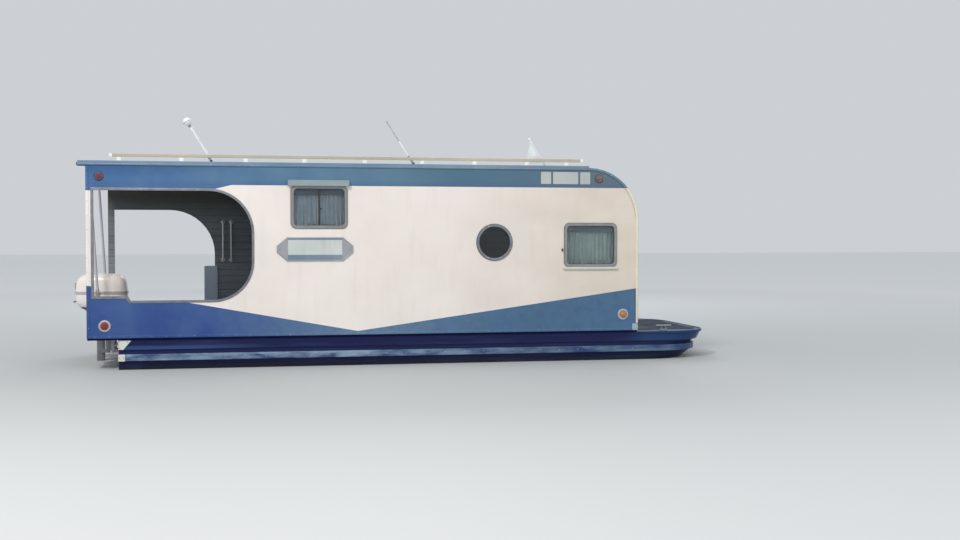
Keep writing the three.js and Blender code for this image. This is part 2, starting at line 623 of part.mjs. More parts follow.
for (const [name, side] of SIDES) {
  const { x, y, length, height, radius } = CLEAT;
  const foot = box(x - CLEAT.footHalfLength, x + CLEAT.footHalfLength,
    side * y - CLEAT.footHalfWidth, side * y + CLEAT.footHalfWidth,
    HULL.deck + SEAT, HULL.deck + CLEAT.footThick);
  const posts = [-CLEAT.postOff, CLEAT.postOff].map((off) =>
    barZ(HULL.deck + CLEAT.footThick / 2, HULL.deck + height, x + off, side * y, CLEAT.post, 10));
  const horns = barX(x - length / 2, x + length / 2, side * y, HULL.deck + height, radius, 10);
  place(`bow_cleat_${name}`, joined([foot, ...posts, horns]), "aluminium", { metalness: 0.8 });
}

// Motor bracket: a pad on the transom, four arms, and the board that the motor clamps to.

function bracketArm({ pad, board }, side) {
  const foreX = BRACKET.padAft + BRACKET.overlap;
  const aftX = MOTOR_BOARD.fore - BRACKET.overlap;
  const shape = outline([[foreX, pad], [aftX, board], [aftX, board - ARM.depth], [foreX, pad - ARM.depth]]);
  return sidePlate(shape, ...layer(side, ARM.near, ARM.far));
}
const arms = SIDES.flatMap(([, side]) => ARM_HEIGHTS.map((heights) => bracketArm(heights, side)));
place("motor_bracket", joined([
  box(BRACKET.padAft, BRACKET.padFore - SEAT, -BRACKET.halfWidth, BRACKET.halfWidth,
    BRACKET.low, BRACKET.high),
  box(MOTOR_BOARD.aft, MOTOR_BOARD.fore, -BRACKET.halfWidth, BRACKET.halfWidth,
    MOTOR_BOARD.low, MOTOR_BOARD.high),
  ...arms,
]), "aluminium", { metalness: 0.8 });

const boardTop = MOTOR_BOARD.high + SEAT;
const cheek = outline([
  [CLAMP.aft, CLAMP.crown], [CLAMP.aft, CLAMP.low],
  [MOTOR_BOARD.aft - SEAT, CLAMP.low], [MOTOR_BOARD.aft - SEAT, boardTop],
  [MOTOR_BOARD.fore + SEAT, boardTop], [MOTOR_BOARD.fore + SEAT, CLAMP.lipLow],
  [CLAMP.lip, CLAMP.lipLow], [CLAMP.lip, CLAMP.lipHigh], [CLAMP.chamfer, CLAMP.crown],
]);
place("motor_clamp", joined([
  ...SIDES.map(([, side]) => sidePlate(cheek, ...layer(side, TILT.cheekNear, TILT.cheekFar))),
  barY(-TILT.cheekNear - 5, TILT.cheekNear + 5, TILT.x, TILT.z, TILT.shaft),
]), "grey");

// Swivel: turns on the tilt shaft and carries the steering tube.

place("motor_swivel", cut(joined([
  barY(-TILT.halfWidth, TILT.halfWidth, TILT.x, TILT.z, TILT.hub, 24),
  box(STEER.x, TILT.x, -SWIVEL_BLOCK.halfWidth, SWIVEL_BLOCK.halfWidth, SWIVEL_BLOCK.low, SWIVEL_BLOCK.high),
  barZ(STEER.low, STEER.high, STEER.x, 0, STEER.tube, 24),
]), [
  barY(-TILT.halfWidth - 5, TILT.halfWidth + 5, TILT.x, TILT.z, TILT.shaft + SEAT, 16),
  barZ(STEER.low - 5, STEER.high + 5, STEER.x, 0, STEER.pin + STEER.play, 16),
]), "grey");

// Leg: a slim shaft housing, plate, gearcase and skeg, with the yokes and steering pin.

function legRing(z) {
  const middle = (LEG.fore + LEG.aft) / 2;
  const half = (LEG.fore - LEG.aft) / 2;
  return Array.from({ length: 16 }, (_, step) => {
    const angle = (step / 16) * 2 * Math.PI;
    return [middle + half * Math.cos(angle), LEG.halfThick * Math.sin(angle), z];
  });
}

const gearcaseProfile = GEARCASE_PROFILE.map(([radius, distance]) => new THREE.Vector2(radius, distance));
const gearcase = new THREE.LatheGeometry(gearcaseProfile, 16)
  .rotateZ(Math.PI / 2).translate(GEARCASE_NOSE, 0, PROP.z);
const yokes = YOKE.spans.map((span) => box(YOKE.aft, YOKE.fore, -YOKE.halfWidth, YOKE.halfWidth, ...span));
place("motor_leg", joined([
  loft([legRing(PROP.z), legRing(LEG.head - SEAT)], fromAbove),
  box(PLATE.aft, PLATE.fore, -PLATE.halfWidth, PLATE.halfWidth, PLATE.top - PLATE.thick, PLATE.top),
  gearcase,
  sidePlate(outline(SKEG.outline), -SKEG.halfThick, SKEG.halfThick),
  ...yokes,
  barZ(LEG.pinLow, LEG.pinHigh, STEER.x, 0, STEER.pin),
]), "grey");

// Cowl sections from the bottom up: height, aft end, fore end, half width.
const COWL = [
  { z: 620, aft: -4080, fore: -3690, halfWidth: 135 },
  { z: 690, aft: -4190, fore: -3615, halfWidth: 185 },
  { z: 760, aft: -4220, fore: -3592, halfWidth: 205 },
  { z: 980, aft: -4215, fore: -3600, halfWidth: 200 },
  { z: 1060, aft: -4170, fore: -3640, halfWidth: 175 },
  { z: 1098, aft: -4060, fore: -3740, halfWidth: 115 },
];
const cowlRing = ({ z, aft, fore, halfWidth }) => Array.from({ length: 28 }, (_, step) => {
  const angle = (step / 28) * 2 * Math.PI;
  const [c, s] = [Math.cos(angle), Math.sin(angle)];
  const round = (value) => Math.sign(value) * Math.abs(value) ** 0.6;
  return [(fore + aft) / 2 + ((fore - aft) / 2) * round(c), halfWidth * round(s), z];
});
place("motor_cowl", loft(COWL.map(cowlRing), fromAbove), "white");

// Propeller.

const propHub = barX(PROP.hubAft, PROP.hubFore, 0, PROP.z, PROP.hub, 20);
const blades = Array.from({ length: PROP.blades }, (_, step) => {
  const blade = new THREE.Shape();
  blade.absellipse(0, 0, PROP.bladeHalfWidth, PROP.bladeHalfLength, 0, 2 * Math.PI);
  return extrude(blade, PROP.bladeThick, 8)
    .translate(0, PROP.radius - PROP.bladeHalfLength, -PROP.bladeThick / 2)
    .rotateY(Math.PI / 2 + THREE.MathUtils.degToRad(90 - PROP.pitch))
    .rotateX((step / PROP.blades) * 2 * Math.PI).translate((PROP.hubAft + PROP.hubFore) / 2, 0, PROP.z);
});
place("propeller", joined([propHub, ...blades]), "aluminium", { metalness: 0.6 });

// Helm inside the front of the cabin, to starboard.

const consoleShape = outline([
  [HELM.aft, CABIN.sole + SEAT], [FRONT.aft - SEAT, CABIN.sole + SEAT], [FRONT.aft - SEAT, HELM.top],
  [HELM.topAft, HELM.top], [HELM.dashAft, HELM.dashLow], [HELM.aft, HELM.knee],
]);
place("helm_console", sidePlate(consoleShape, HELM.near, HELM.far), "wood");

const helm = new THREE.Group();
helm.position.set(HELM.wheelX, (HELM.near + HELM.far) / 2, HELM.wheelZ);
helm.rotation.y = -Math.atan2(HELM.top - HELM.dashLow, HELM.topAft - HELM.dashAft);
const wheelRing = new THREE.TorusGeometry(HELM.wheel, HELM.grip, 10, 36).translate(0, 0, HELM.off);
const spokes = [0, 120, 240].map((angle) => barY(0, HELM.wheel, 0, HELM.off, HELM.spoke, 10)
  .rotateZ(THREE.MathUtils.degToRad(angle)));
const wheelHub = barZ(SEAT, HELM.off + HELM.hubProud, 0, 0, HELM.hub);
helm.add(piece("helm_wheel", joined([wheelRing, wheelHub, ...spokes]), "grey"));
houseboat.add(helm);

export default houseboat;
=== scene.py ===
# %% [markdown]
# # A cabin houseboat, finished in Blender
# The boat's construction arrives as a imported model: every wall, frame, hinge and motor part is
# already a solid at its real size. This lesson leaves those solids where they are and gives them
# the looks of the real boat: sun-bleached enamel, scuffed rub rails, rubber-sealed windows with
# curtains behind them, and the small fittings that a boatyard screws on last.
# Everything is in metres, with +X towards the bow, +Y to port and z = 0 at the waterline.

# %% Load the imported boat
import math
import random

import bmesh
import bpy
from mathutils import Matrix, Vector


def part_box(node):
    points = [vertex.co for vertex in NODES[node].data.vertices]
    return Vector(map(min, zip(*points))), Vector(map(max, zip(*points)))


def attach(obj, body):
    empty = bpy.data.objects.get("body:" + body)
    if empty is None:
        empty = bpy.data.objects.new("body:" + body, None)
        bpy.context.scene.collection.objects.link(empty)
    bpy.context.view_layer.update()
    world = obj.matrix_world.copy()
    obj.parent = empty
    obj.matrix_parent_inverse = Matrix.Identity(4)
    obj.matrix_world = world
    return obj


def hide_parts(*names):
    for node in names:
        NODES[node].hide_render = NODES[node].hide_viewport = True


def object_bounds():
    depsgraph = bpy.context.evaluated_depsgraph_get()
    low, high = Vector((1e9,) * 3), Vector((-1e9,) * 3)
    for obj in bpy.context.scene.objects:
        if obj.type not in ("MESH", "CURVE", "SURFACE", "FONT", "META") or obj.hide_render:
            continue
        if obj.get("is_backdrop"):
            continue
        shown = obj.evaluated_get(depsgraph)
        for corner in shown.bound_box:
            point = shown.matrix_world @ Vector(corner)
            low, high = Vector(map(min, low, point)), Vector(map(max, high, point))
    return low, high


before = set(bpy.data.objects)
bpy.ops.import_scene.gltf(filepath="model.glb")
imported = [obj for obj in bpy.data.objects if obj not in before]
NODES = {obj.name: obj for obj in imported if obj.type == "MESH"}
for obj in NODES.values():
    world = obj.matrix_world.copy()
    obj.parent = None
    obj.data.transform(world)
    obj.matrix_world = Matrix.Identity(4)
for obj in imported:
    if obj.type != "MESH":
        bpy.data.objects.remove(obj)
cad_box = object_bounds()
SIDES = {"starboard": -1, "port": 1}

# %% [markdown]
# ## The camera
# The camera stands level with the windows, about fourteen metres off and a little aft of the
# middle. It could be fitted by eye, but long straight lines such as the roof edge and the rub rail
# give its place and lens directly, so those measured values are used.

# %% Camera
CAMERA_PLACE = (-2.2, -15.72, 1.567)
CAMERA_LENS = 45.0
SENSOR_WIDTH = 36.0
LOOK_DOWN = math.radians(1.62)
LOOK_TO_BOW = math.radians(11.3)

camera_data = bpy.data.cameras.new("camera")
camera_data.lens = CAMERA_LENS
camera_data.sensor_width = SENSOR_WIDTH
camera = bpy.data.objects.new("camera", camera_data)
bpy.context.collection.objects.link(camera)
camera.location = CAMERA_PLACE
camera.rotation_euler = (math.pi / 2 - LOOK_DOWN, 0, -LOOK_TO_BOW)
bpy.context.scene.camera = camera
print("camera at", CAMERA_PLACE, "lens", CAMERA_LENS)

# %% [markdown]
# ## How a finish is put together
# Old paint is never one colour. It chalks, fades and gathers grime, its gloss varies, and brush
# marks or sheet metal make it uneven. Photographs could be wrapped round the boat, but procedural
# nodes are sharper at any distance and follow the boat's own metres through the Object
# coordinates. The small class below strings nodes together so that each finish reads as a recipe.

# %% The recipe helper


def colour(red, green, blue):
    """Linear colour of a surface that reads as this 0-255 screen colour."""
    def linear(value):
        share = value / 255
        return share / 12.92 if share <= 0.04045 else ((share + 0.055) / 1.055) ** 2.4
    return (linear(red), linear(green), linear(blue), 1.0)


class Finish:
    """A procedural material on one Principled shader."""

    def __init__(self, name, base, rough, metal=0.0, **sockets):
        self.material = bpy.data.materials.new(name)
        self.material.use_nodes = True
        self.tree = self.material.node_tree
        self.shader = self.tree.nodes["Principled BSDF"]
        self.fill(self.shader, Base_Color=base, Roughness=rough, Metallic=metal, **sockets)
        self.coordinates = self.tree.nodes.new("ShaderNodeTexCoord")

    def link(self, source, target):
        self.tree.links.new(source, target)

    def feed(self, socket, value):
        """Puts a number, a colour or another node's output into a socket."""
        if isinstance(value, bpy.types.NodeSocket):
            self.link(value, socket)
        else:
            socket.default_value = value

    def fill(self, node, **sockets):
        """Feeds the sockets of a node by their names, with _ for a space."""
        for name, value in sockets.items():
            self.feed(node.inputs[name.replace("_", " ")], value)
        return node

    def new(self, kind, **sockets):
        """A new node, with its sockets fed the same way."""
        return self.fill(self.tree.nodes.new("ShaderNode" + kind), **sockets)

    def stretched(self, scale=(1.0, 1.0, 1.0)):
        node = self.new("Mapping", Scale=scale, Vector=self.coordinates.outputs["Object"])
        return node.outputs["Vector"]

    def noise(self, scale, detail=4.0, rough=0.5, stretch=(1.0, 1.0, 1.0)):
        node = self.new("TexNoise", Scale=scale, Detail=detail, Roughness=rough)
        return self.fill(node, Vector=self.stretched(stretch)).outputs["Fac"]

    def cells(self, scale):
        node = self.new("TexVoronoi", Scale=scale)
        return self.fill(node, Vector=self.stretched()).outputs["Distance"]

    def wave(self, scale, direction):
        node = self.new("TexWave", Scale=scale, Vector=self.coordinates.outputs["Object"])
        node.bands_direction = direction
        return node.outputs["Fac"]

    def axis(self, name, source="Object"):
        """One coordinate of the place (Object) or of the way that the surface faces (Normal)."""
        return self.new("SeparateXYZ", Vector=self.coordinates.outputs[source]).outputs[name]

    def math(self, operation, first, second=0.0):
        node = self.new("Math")
        node.operation = operation
        self.feed(node.inputs[0], first)
        self.feed(node.inputs[1], second)
        return node.outputs[0]

    def above(self, value, level):
        return self.math("GREATER_THAN", value, level)

    def below(self, value, level):
        return self.math("LESS_THAN", value, level)

    def both(self, first, second):
        return self.math("MULTIPLY", first, second)

    def between(self, value, low, high, out_low=0.0, out_high=1.0):
        """0 to 1, or out_low to out_high, as value goes from low to high."""
        return self.new("MapRange", Value=value, From_Min=low, From_Max=high,
                        To_Min=out_low, To_Max=out_high).outputs["Result"]

    def mix(self, factor, first, second):
        """Goes from one colour to another; 6 and 7 are the node's colour sockets."""
        node = self.new("Mix")
        node.data_type = "RGBA"
        self.feed(node.inputs["Factor"], factor)
        self.feed(node.inputs[6], first)
        self.feed(node.inputs[7], second)
        return node.outputs[2]

    def bump(self, height, depth, strength=1.0):
        """Raises the surface by depth metres where height goes from 0 to 1."""
        node = self.new("Bump", Distance=depth, Strength=strength, Height=height)
        normal = self.shader.inputs["Normal"]
        if normal.is_linked:
            self.link(normal.links[0].from_socket, node.inputs["Normal"])
        self.link(node.outputs["Normal"], normal)

    def paint(self, value):
        self.feed(self.shader.inputs["Base Color"], value)

    def gloss(self, low, high, pattern):
        """Roughness that wanders between two values with a pattern."""
        self.fill(self.shader, Roughness=self.between(pattern, 0.3, 0.7, low, high))


def weathered(finish, base, faded, grime, grime_share=0.25):
    """Broad fading, and fine grime that runs down the surface."""
    broad = finish.between(finish.noise(1.3, 3.0, stretch=(1.0, 1.0, 1.6)), 0.35, 0.68)
    streaks = finish.noise(9.0, 6.0, 0.6, stretch=(1.0, 1.0, 0.18))
    runs = finish.between(streaks, 0.52, 0.80, 0.0, grime_share)
    return finish.mix(runs, finish.mix(broad, base, faded), grime)


# %% [markdown]
# ## Floor and light
# A boat afloat has to be seen down to its waterline, so the studio floor lies at that height and
# the hull goes on below it. Far from the boat the lamps don't reach the floor, so it is painted
# paler there and the horizon stays soft.
# A pale world gives the soft fill of a studio. The one large key light hangs high on the stern
# side of the camera, where the sun stood: that is what puts a shadow under the cabin's overhang
# and lights the forward jambs of the porch. The plain view transform keeps the enamel colours as
# they are mixed, where the filmic one would grey them.

# %% Floor, world and lights
FLOOR_REACH = 90.0
# The floor turns from its near tone to its far tone between these distances from the boat.
FLOOR_NEAR = 5.0
FLOOR_FAR = 22.0
FLOOR_NEAR_TONE = colour(188, 191, 192)
FLOOR_FAR_TONE = colour(240, 241, 242)
WORLD_TINT = (0.86, 0.90, 0.94, 1.0)
WORLD_STRENGTH = 0.70
bpy.context.scene.view_settings.view_transform = "Standard"

corner_signs = ((-1, -1), (1, -1), (1, 1), (-1, 1))
floor_corners = [(FLOOR_REACH * x, FLOOR_REACH * y, 0.0) for x, y in corner_signs]
floor_mesh = bpy.data.meshes.new("floor")
floor_mesh.from_pydata(floor_corners, [], [(0, 1, 2, 3)])
floor = bpy.data.objects.new("floor", floor_mesh)
bpy.context.collection.objects.link(floor)
floor_finish = Finish("floor_pale", FLOOR_NEAR_TONE, 0.7)
distance = floor_finish.new("VectorMath")
distance.operation = "LENGTH"
floor_finish.link(floor_finish.coordinates.outputs["Object"], distance.inputs[0])
farness = floor_finish.between(distance.outputs["Value"], FLOOR_NEAR, FLOOR_FAR)
floor_finish.paint(floor_finish.mix(farness, FLOOR_NEAR_TONE, FLOOR_FAR_TONE))
floor_mesh.materials.append(floor_finish.material)
floor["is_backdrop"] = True

world = bpy.data.worlds.new("studio")
world.use_nodes = True
background = world.node_tree.nodes["Background"]
background.inputs["Color"].default_value = WORLD_TINT
background.inputs["Strength"].default_value = WORLD_STRENGTH
bpy.context.scene.world = world


def area_light(name, place, aim, size, power, tint):
    """A square soft light at a place, facing the point that it is aimed at."""
    data = bpy.data.lights.new(name, "AREA")
    data.size = size
    data.energy = power
    data.color = tint
    light = bpy.data.objects.new(name, data)
    bpy.context.collection.objects.link(light)
    light.location = place
    light.rotation_euler = (Vector(aim) - Vector(place)).to_track_quat("-Z", "Y").to_euler()


# Name, place, the point that it faces, size, power and tint of each light.
LIGHTS = (
    ("key", (-7.5, -11.0, 12.5), (-0.4, -1.0, 1.2), 2.6, 1500, (1.0, 0.96, 0.90)),
    ("fill", (9.0, -12.0, 6.0), (1.0, 0.0, 1.2), 6.0, 260, (0.94, 0.97, 1.0)),
    ("back", (2.0, 13.0, 9.0), (0.0, 0.0, 1.5), 6.0, 500, (0.95, 0.97, 1.0)),
)
for light_row in LIGHTS:
    area_light(*light_row)
print("lights:", len(LIGHTS))

# %% [markdown]
# ## Cabin paint
# The cabin is painted sheet on a light frame: warm white sides, a blue band under the roof and a
# blue skirt whose upper edge is a wide, shallow V. The white is painted darker towards the bow, as
# shade of the light that falls from the stern side. Masks painted by hand would need an unwrapped
# mesh. Here each straight paint edge is written as a line in X and Z, so it is as crisp as masking
# tape leaves it. Over the porch the band dips to the opening's head. The inside of the same sheets
# has a boarded lining whose dark tones are painted shade: blue-grey on the walls, lightest at the
# foot and darkest under the roof, and olive overhead.

# %% Cabin paint
# The cabin's front face, which the side sheets end at.
CABIN_FRONT = 2.74
# Paint edges as (X, height) points, from the stern forward.
BAND_OVER_PORCH = (-2.60, 2.095)
BAND_FORE = (-2.30, 2.17)
SKIRT_AFT = (-2.78, 0.78)
SKIRT_POINT = (-0.81, 0.42)
SKIRT_CORNER = (CABIN_FRONT, 0.91)
# The side walls' middle: what is nearer the centreline is lining.
LINING_START = 1.2
# The aft bulkhead is lined forward of its middle, and the front wall aft of its own.
BULKHEAD_LINED = (-2.02, 2.72)
# The cream is painted darker and warmer towards the bow, as shade of the light from the stern side.
CREAM_AFT = colour(230, 221, 216)
CREAM_FORE = colour(205, 194, 176)
CREAM_FADED_AFT = colour(236, 228, 223)
CREAM_FADED_FORE = colour(218, 207, 192)
BAND_AFT = colour(52, 98, 148)
BAND_MIDDLE = colour(84, 118, 140)
BAND_OVER_PORTHOLE = colour(68, 102, 126)
BAND_HEAD = colour(44, 70, 116)
BAND_NOSE = colour(86, 104, 116)
BAND_FADED = colour(100, 134, 154)
SKIRT_AFT_BLUE = colour(34, 68, 134)
SKIRT_MIDDLE_BLUE = colour(96, 124, 150)
SKIRT_FORE_BLUE = colour(66, 102, 132)
SKIRT_FADED = colour(74, 108, 156)
# Tones of the inside of the sheets, all painted shade: lightest at the foot, darker up the wall, darkest
# under the roof.
LINING_LIGHT_SHADE = colour(158, 166, 176)
LINING_SHADE = colour(122, 130, 135)
LINING_DEEP_SHADE = colour(66, 66, 58)
LINING_SEAM = colour(52, 55, 62)
# Painted shade overhead: the roof's underside.
CEILING_SHADE = colour(56, 56, 48)


def paint_line(finish, x, start, end):
    """Height of a straight paint edge through two points, along X."""
    slope = (end[1] - start[1]) / (end[0] - start[0])
    return finish.math("ADD", finish.math("MULTIPLY", x, slope), start[1] - slope * start[0])


def outside_paint(finish):
    """The colour of the cabin's outside, whatever sheet or trim it is on."""
    x, z = (finish.axis(name) for name in "XZ")
    # Along X the cream is painted darker towards the bow as shade; the band and skirt blues also change
    # along X, partly as painted light and partly as the paint's own tone.
    along = finish.between(x, 0.2, 2.9)
    cream = weathered(finish, finish.mix(along, CREAM_AFT, CREAM_FORE),
                      finish.mix(along, CREAM_FADED_AFT, CREAM_FADED_FORE), colour(192, 182, 168), 0.22)
    fading = finish.between(finish.noise(2.2, 5.0, 0.6), 0.38, 0.68, 0.0, 0.45)
    blotches = finish.between(finish.noise(12.0, 4.0, 0.6), 0.45, 0.70, 0.0, 0.30)
    band = finish.mix(finish.between(x, -3.2, -0.2), BAND_AFT, BAND_MIDDLE)
    band = finish.mix(fading, band, BAND_FADED)
    band = finish.mix(finish.between(x, -0.5, 0.4, 0.0, 0.8), band, BAND_OVER_PORTHOLE)
    band = finish.mix(finish.between(x, 0.9, 2.5), band, BAND_NOSE)
    head = finish.both(finish.between(z, 2.25, 2.40, 0.0, 0.5), finish.between(x, -1.8, -3.1))
    band = finish.mix(head, band, BAND_HEAD)
    band = finish.mix(finish.between(z, 2.17, 2.24, 0.5, 0.0), band, colour(62, 92, 146))
    skirt = finish.mix(finish.between(x, -2.6, -0.9), SKIRT_AFT_BLUE, SKIRT_MIDDLE_BLUE)
    skirt = finish.mix(finish.between(x, -0.6, 1.0), skirt, SKIRT_FORE_BLUE)
    skirt = finish.mix(fading, skirt, SKIRT_FADED)
    skirt = finish.mix(blotches, skirt, colour(44, 74, 130))
    band_edge = finish.math("MAXIMUM", BAND_OVER_PORCH[1],
                            finish.math("MINIMUM", BAND_FORE[1],
                                        paint_line(finish, x, BAND_OVER_PORCH, BAND_FORE)))
    skirt_edge = finish.math("MAXIMUM", paint_line(finish, x, SKIRT_AFT, SKIRT_POINT),
                             paint_line(finish, x, SKIRT_POINT, SKIRT_CORNER))
    painted = finish.mix(finish.below(z, skirt_edge), cream, skirt)
    return finish.mix(finish.above(z, band_edge), painted, band)


def lining_paint(finish, base):
    """Boarded lining: a slight change of tone from board to board and dark seams."""
    boards = finish.wave(3.4, "Z")
    seam = finish.between(boards, 0.0, 0.04, 0.6, 0.0)
    grain = finish.between(finish.noise(3.0, 7.0, 0.6, stretch=(1.0, 1.0, 14.0)), 0.3, 0.7, 0.0, 0.35)
    return finish.mix(seam, finish.mix(grain, base, LINING_SEAM), LINING_SEAM)


def cabin_paint():
    finish = Finish("cabin_enamel", CREAM_AFT, 0.36)
    inside = finish.below(finish.math("ABSOLUTE", finish.axis("Y")), LINING_START)
    z = finish.axis("Z")
    # The lining's tones are painted shade: lightest at the foot, darkest under the roof.
    lining = finish.mix(finish.between(z, 0.9, 1.5), LINING_LIGHT_SHADE, LINING_SHADE)
    lining = finish.mix(finish.between(z, 1.75, 2.08), lining, LINING_DEEP_SHADE)
    finish.paint(finish.mix(inside, outside_paint(finish), lining_paint(finish, lining)))
    finish.gloss(0.30, 0.5, finish.noise(6.0, 4.0))
    finish.bump(finish.noise(1.1, 2.0), 0.006, 0.5)
    finish.bump(finish.noise(45.0, 3.0), 0.0004, 0.35)
    return finish.material


def bulkhead_paint():
    """The walls across the boat: cream on the bow's face, and a lining in painted shade on the porch's
    face and towards the cabin.
    """
    finish = Finish("bulkhead_enamel", CREAM_FORE, 0.42)
    x = finish.axis("X")
    lined = finish.both(finish.above(x, BULKHEAD_LINED[0]), finish.below(x, BULKHEAD_LINED[1]))
    cream = weathered(finish, CREAM_FORE, colour(232, 226, 216), colour(178, 168, 150), 0.3)
    # Painted shade: the aft bulkhead's porch face is a dark grey lining, and the front wall's bow face
    # stays cream.
    bow_cream_porch_shade = finish.mix(finish.below(x, -1.0), cream, lining_paint(finish, colour(92, 94, 96)))
    finish.paint(finish.mix(lined, bow_cream_porch_shade, lining_paint(finish, LINING_SHADE)))
    finish.gloss(0.34, 0.55, finish.noise(7.0, 4.0))
    finish.bump(finish.noise(55.0, 3.0), 0.0004, 0.35)
    return finish.material


CABIN = cabin_paint()
BULKHEAD = bulkhead_paint()

# %% [markdown]
# ## Hull, deck and roof paint
# The hull takes knocks, so its blue is darker, chalkier and scratched lengthwise. Under the cabin
# its top plank is painted nearly black as the shadow of the cabin's overhang, its face is painted
# darker mid-length as shade, and below the rub rail the blue is painted darker towards the
# waterline as shade. The rub rail is the most patchy surface of all: blue paint with pale patches
# that are a painted reflection of the sky.

# %% Hull paints
NAVY = colour(32, 40, 84)
# Painted shade: below the rub rail the navy goes darker towards the waterline.
NAVY_SHADED_LOW = colour(15, 17, 42)
# Tones of the top plank's face aft, mid-length and at the bow; the dark mid-length tone is painted shade.
FACE_STERN = colour(50, 72, 120)
FACE_SHADED_MIDDLE = colour(28, 35, 76)
FACE_BOW = colour(33, 60, 102)
# Painted shadow: near-black navy for the hull's top plank under the cabin's overhang and for the floor's
# edge above it.
CABIN_SHADOW_NAVY = colour(26, 30, 74)
SCRATCHED = colour(56, 70, 112)
# Just under the porch floor's top, and the hull's step where its top plank starts.
FLOOR_FACE = 0.3995
TOP_PLANK = 0.2355


def hull_paint():
    finish = Finish("hull_enamel", NAVY, 0.3, Specular_IOR_Level=0.16)
    x, z = finish.axis("X"), finish.axis("Z")
    # Painted shade under the rub rail, darkest at the waterline.
    body = finish.mix(finish.between(z, 0.02, 0.14), NAVY_SHADED_LOW, NAVY)
    # Painted shade: the face is darker mid-length, and under the cabin its top is painted as the
    # overhang's shadow, except at the bow.
    face = finish.mix(finish.between(x, -2.7, -1.8), FACE_STERN, FACE_SHADED_MIDDLE)
    face = finish.mix(finish.between(z, 0.266, 0.292), face, CABIN_SHADOW_NAVY)
    face = finish.mix(finish.between(x, CABIN_FRONT - 0.15, CABIN_FRONT + 0.1), face, FACE_BOW)
    body = finish.mix(finish.above(z, TOP_PLANK), body, face)
    lengthwise = finish.noise(14.0, 6.0, 0.6, stretch=(0.08, 0.08, 1.0))
    body = finish.mix(finish.between(lengthwise, 0.5, 0.78, 0.0, 0.4), body, SCRATCHED)
    weed = finish.both(finish.between(z, 0.06, -0.02), finish.noise(20.0, 5.0))
    finish.paint(finish.mix(weed, body, colour(52, 58, 44)))
    finish.gloss(0.22, 0.5, finish.noise(5.0, 4.0, stretch=(0.4, 1.0, 1.0)))
    finish.bump(finish.noise(1.6, 2.0), 0.005, 0.5)
    finish.bump(finish.noise(60.0, 4.0, stretch=(0.2, 0.2, 1.0)), 0.0004, 0.4)
    return finish.material


def rail_paint():
    finish = Finish("rub_rail_paint_and_sky_reflection", colour(100, 126, 156), 0.5, Specular_IOR_Level=0.3)
    x = finish.axis("X")
    # Pale patches painted on the blue rail are a painted reflection of the sky, dimmer towards the bow.
    patches = finish.between(finish.noise(1.7, 5.0, 0.65, stretch=(1.0, 1.0, 4.0)), 0.40, 0.58)
    pale = finish.mix(finish.noise(9.0, 4.0), colour(106, 134, 163), colour(148, 170, 189))
    pale = finish.mix(finish.between(x, -0.8, 1.4, 0.0, 0.75), pale, colour(74, 102, 126))
    # Between the painted reflections the rail shows its own blue paint.
    worn = finish.mix(finish.noise(7.0, 4.0), colour(34, 52, 98), colour(56, 80, 124))
    finish.paint(finish.mix(patches, worn, pale))
    finish.gloss(0.35, 0.65, finish.noise(12.0, 5.0))
    finish.bump(finish.noise(38.0, 5.0, stretch=(0.3, 1.0, 1.0)), 0.0012, 0.5)
    return finish.material


def deck_paint():
    finish = Finish("deck_non_skid", colour(60, 72, 86), 0.7, Specular_IOR_Level=0.12)
    worn = finish.between(finish.noise(1.5, 5.0, 0.6), 0.4, 0.65)
    stains = finish.between(finish.noise(5.0, 6.0, 0.65), 0.55, 0.8, 0.0, 0.5)
    tone = finish.mix(worn, colour(46, 58, 76), colour(72, 82, 94))
    tone = finish.mix(stains, tone, colour(40, 44, 50))
    # Painted shadow: the floor's edge, in the gap between the hull and the cabin's foot, takes the
    # near-black navy of the shade under the cabin.
    below_floor = finish.below(finish.axis("Z"), FLOOR_FACE)
    shaded_floor_edge = finish.both(below_floor, finish.below(finish.axis("X"), CABIN_FRONT))
    finish.paint(finish.mix(shaded_floor_edge, tone, CABIN_SHADOW_NAVY))
    finish.gloss(0.6, 0.85, finish.noise(8.0, 4.0))
    finish.bump(finish.cells(220.0), 0.0008, 0.7)
    return finish.material


def roof_paint():
    """White above, a lining in painted shade below, and on its two side edges the colours of the wall
    beside them.
    """
    finish = Finish("roof_enamel", colour(226, 222, 212), 0.5)
    top = weathered(finish, colour(224, 221, 212), colour(235, 232, 226), colour(162, 158, 144), 0.4)
    dirt = finish.between(finish.noise(3.0, 7.0, 0.7), 0.5, 0.75, 0.0, 0.35)
    top = finish.mix(dirt, top, colour(176, 170, 154))
    is_edge = finish.above(finish.math("ABSOLUTE", finish.axis("Y", "Normal")), 0.7)
    skin = finish.mix(is_edge, top, outside_paint(finish))
    # Painted shade: the roof's underside is a lining painted dark olive.
    looks_down = finish.below(finish.axis("Z", "Normal"), -0.1)
    finish.paint(finish.mix(looks_down, skin, lining_paint(finish, CEILING_SHADE)))
    finish.gloss(0.4, 0.65, finish.noise(4.0, 4.0))
    finish.bump(finish.noise(0.9, 2.0), 0.006, 0.5)
    finish.bump(finish.noise(70.0, 3.0), 0.0004, 0.4)
    return finish.material


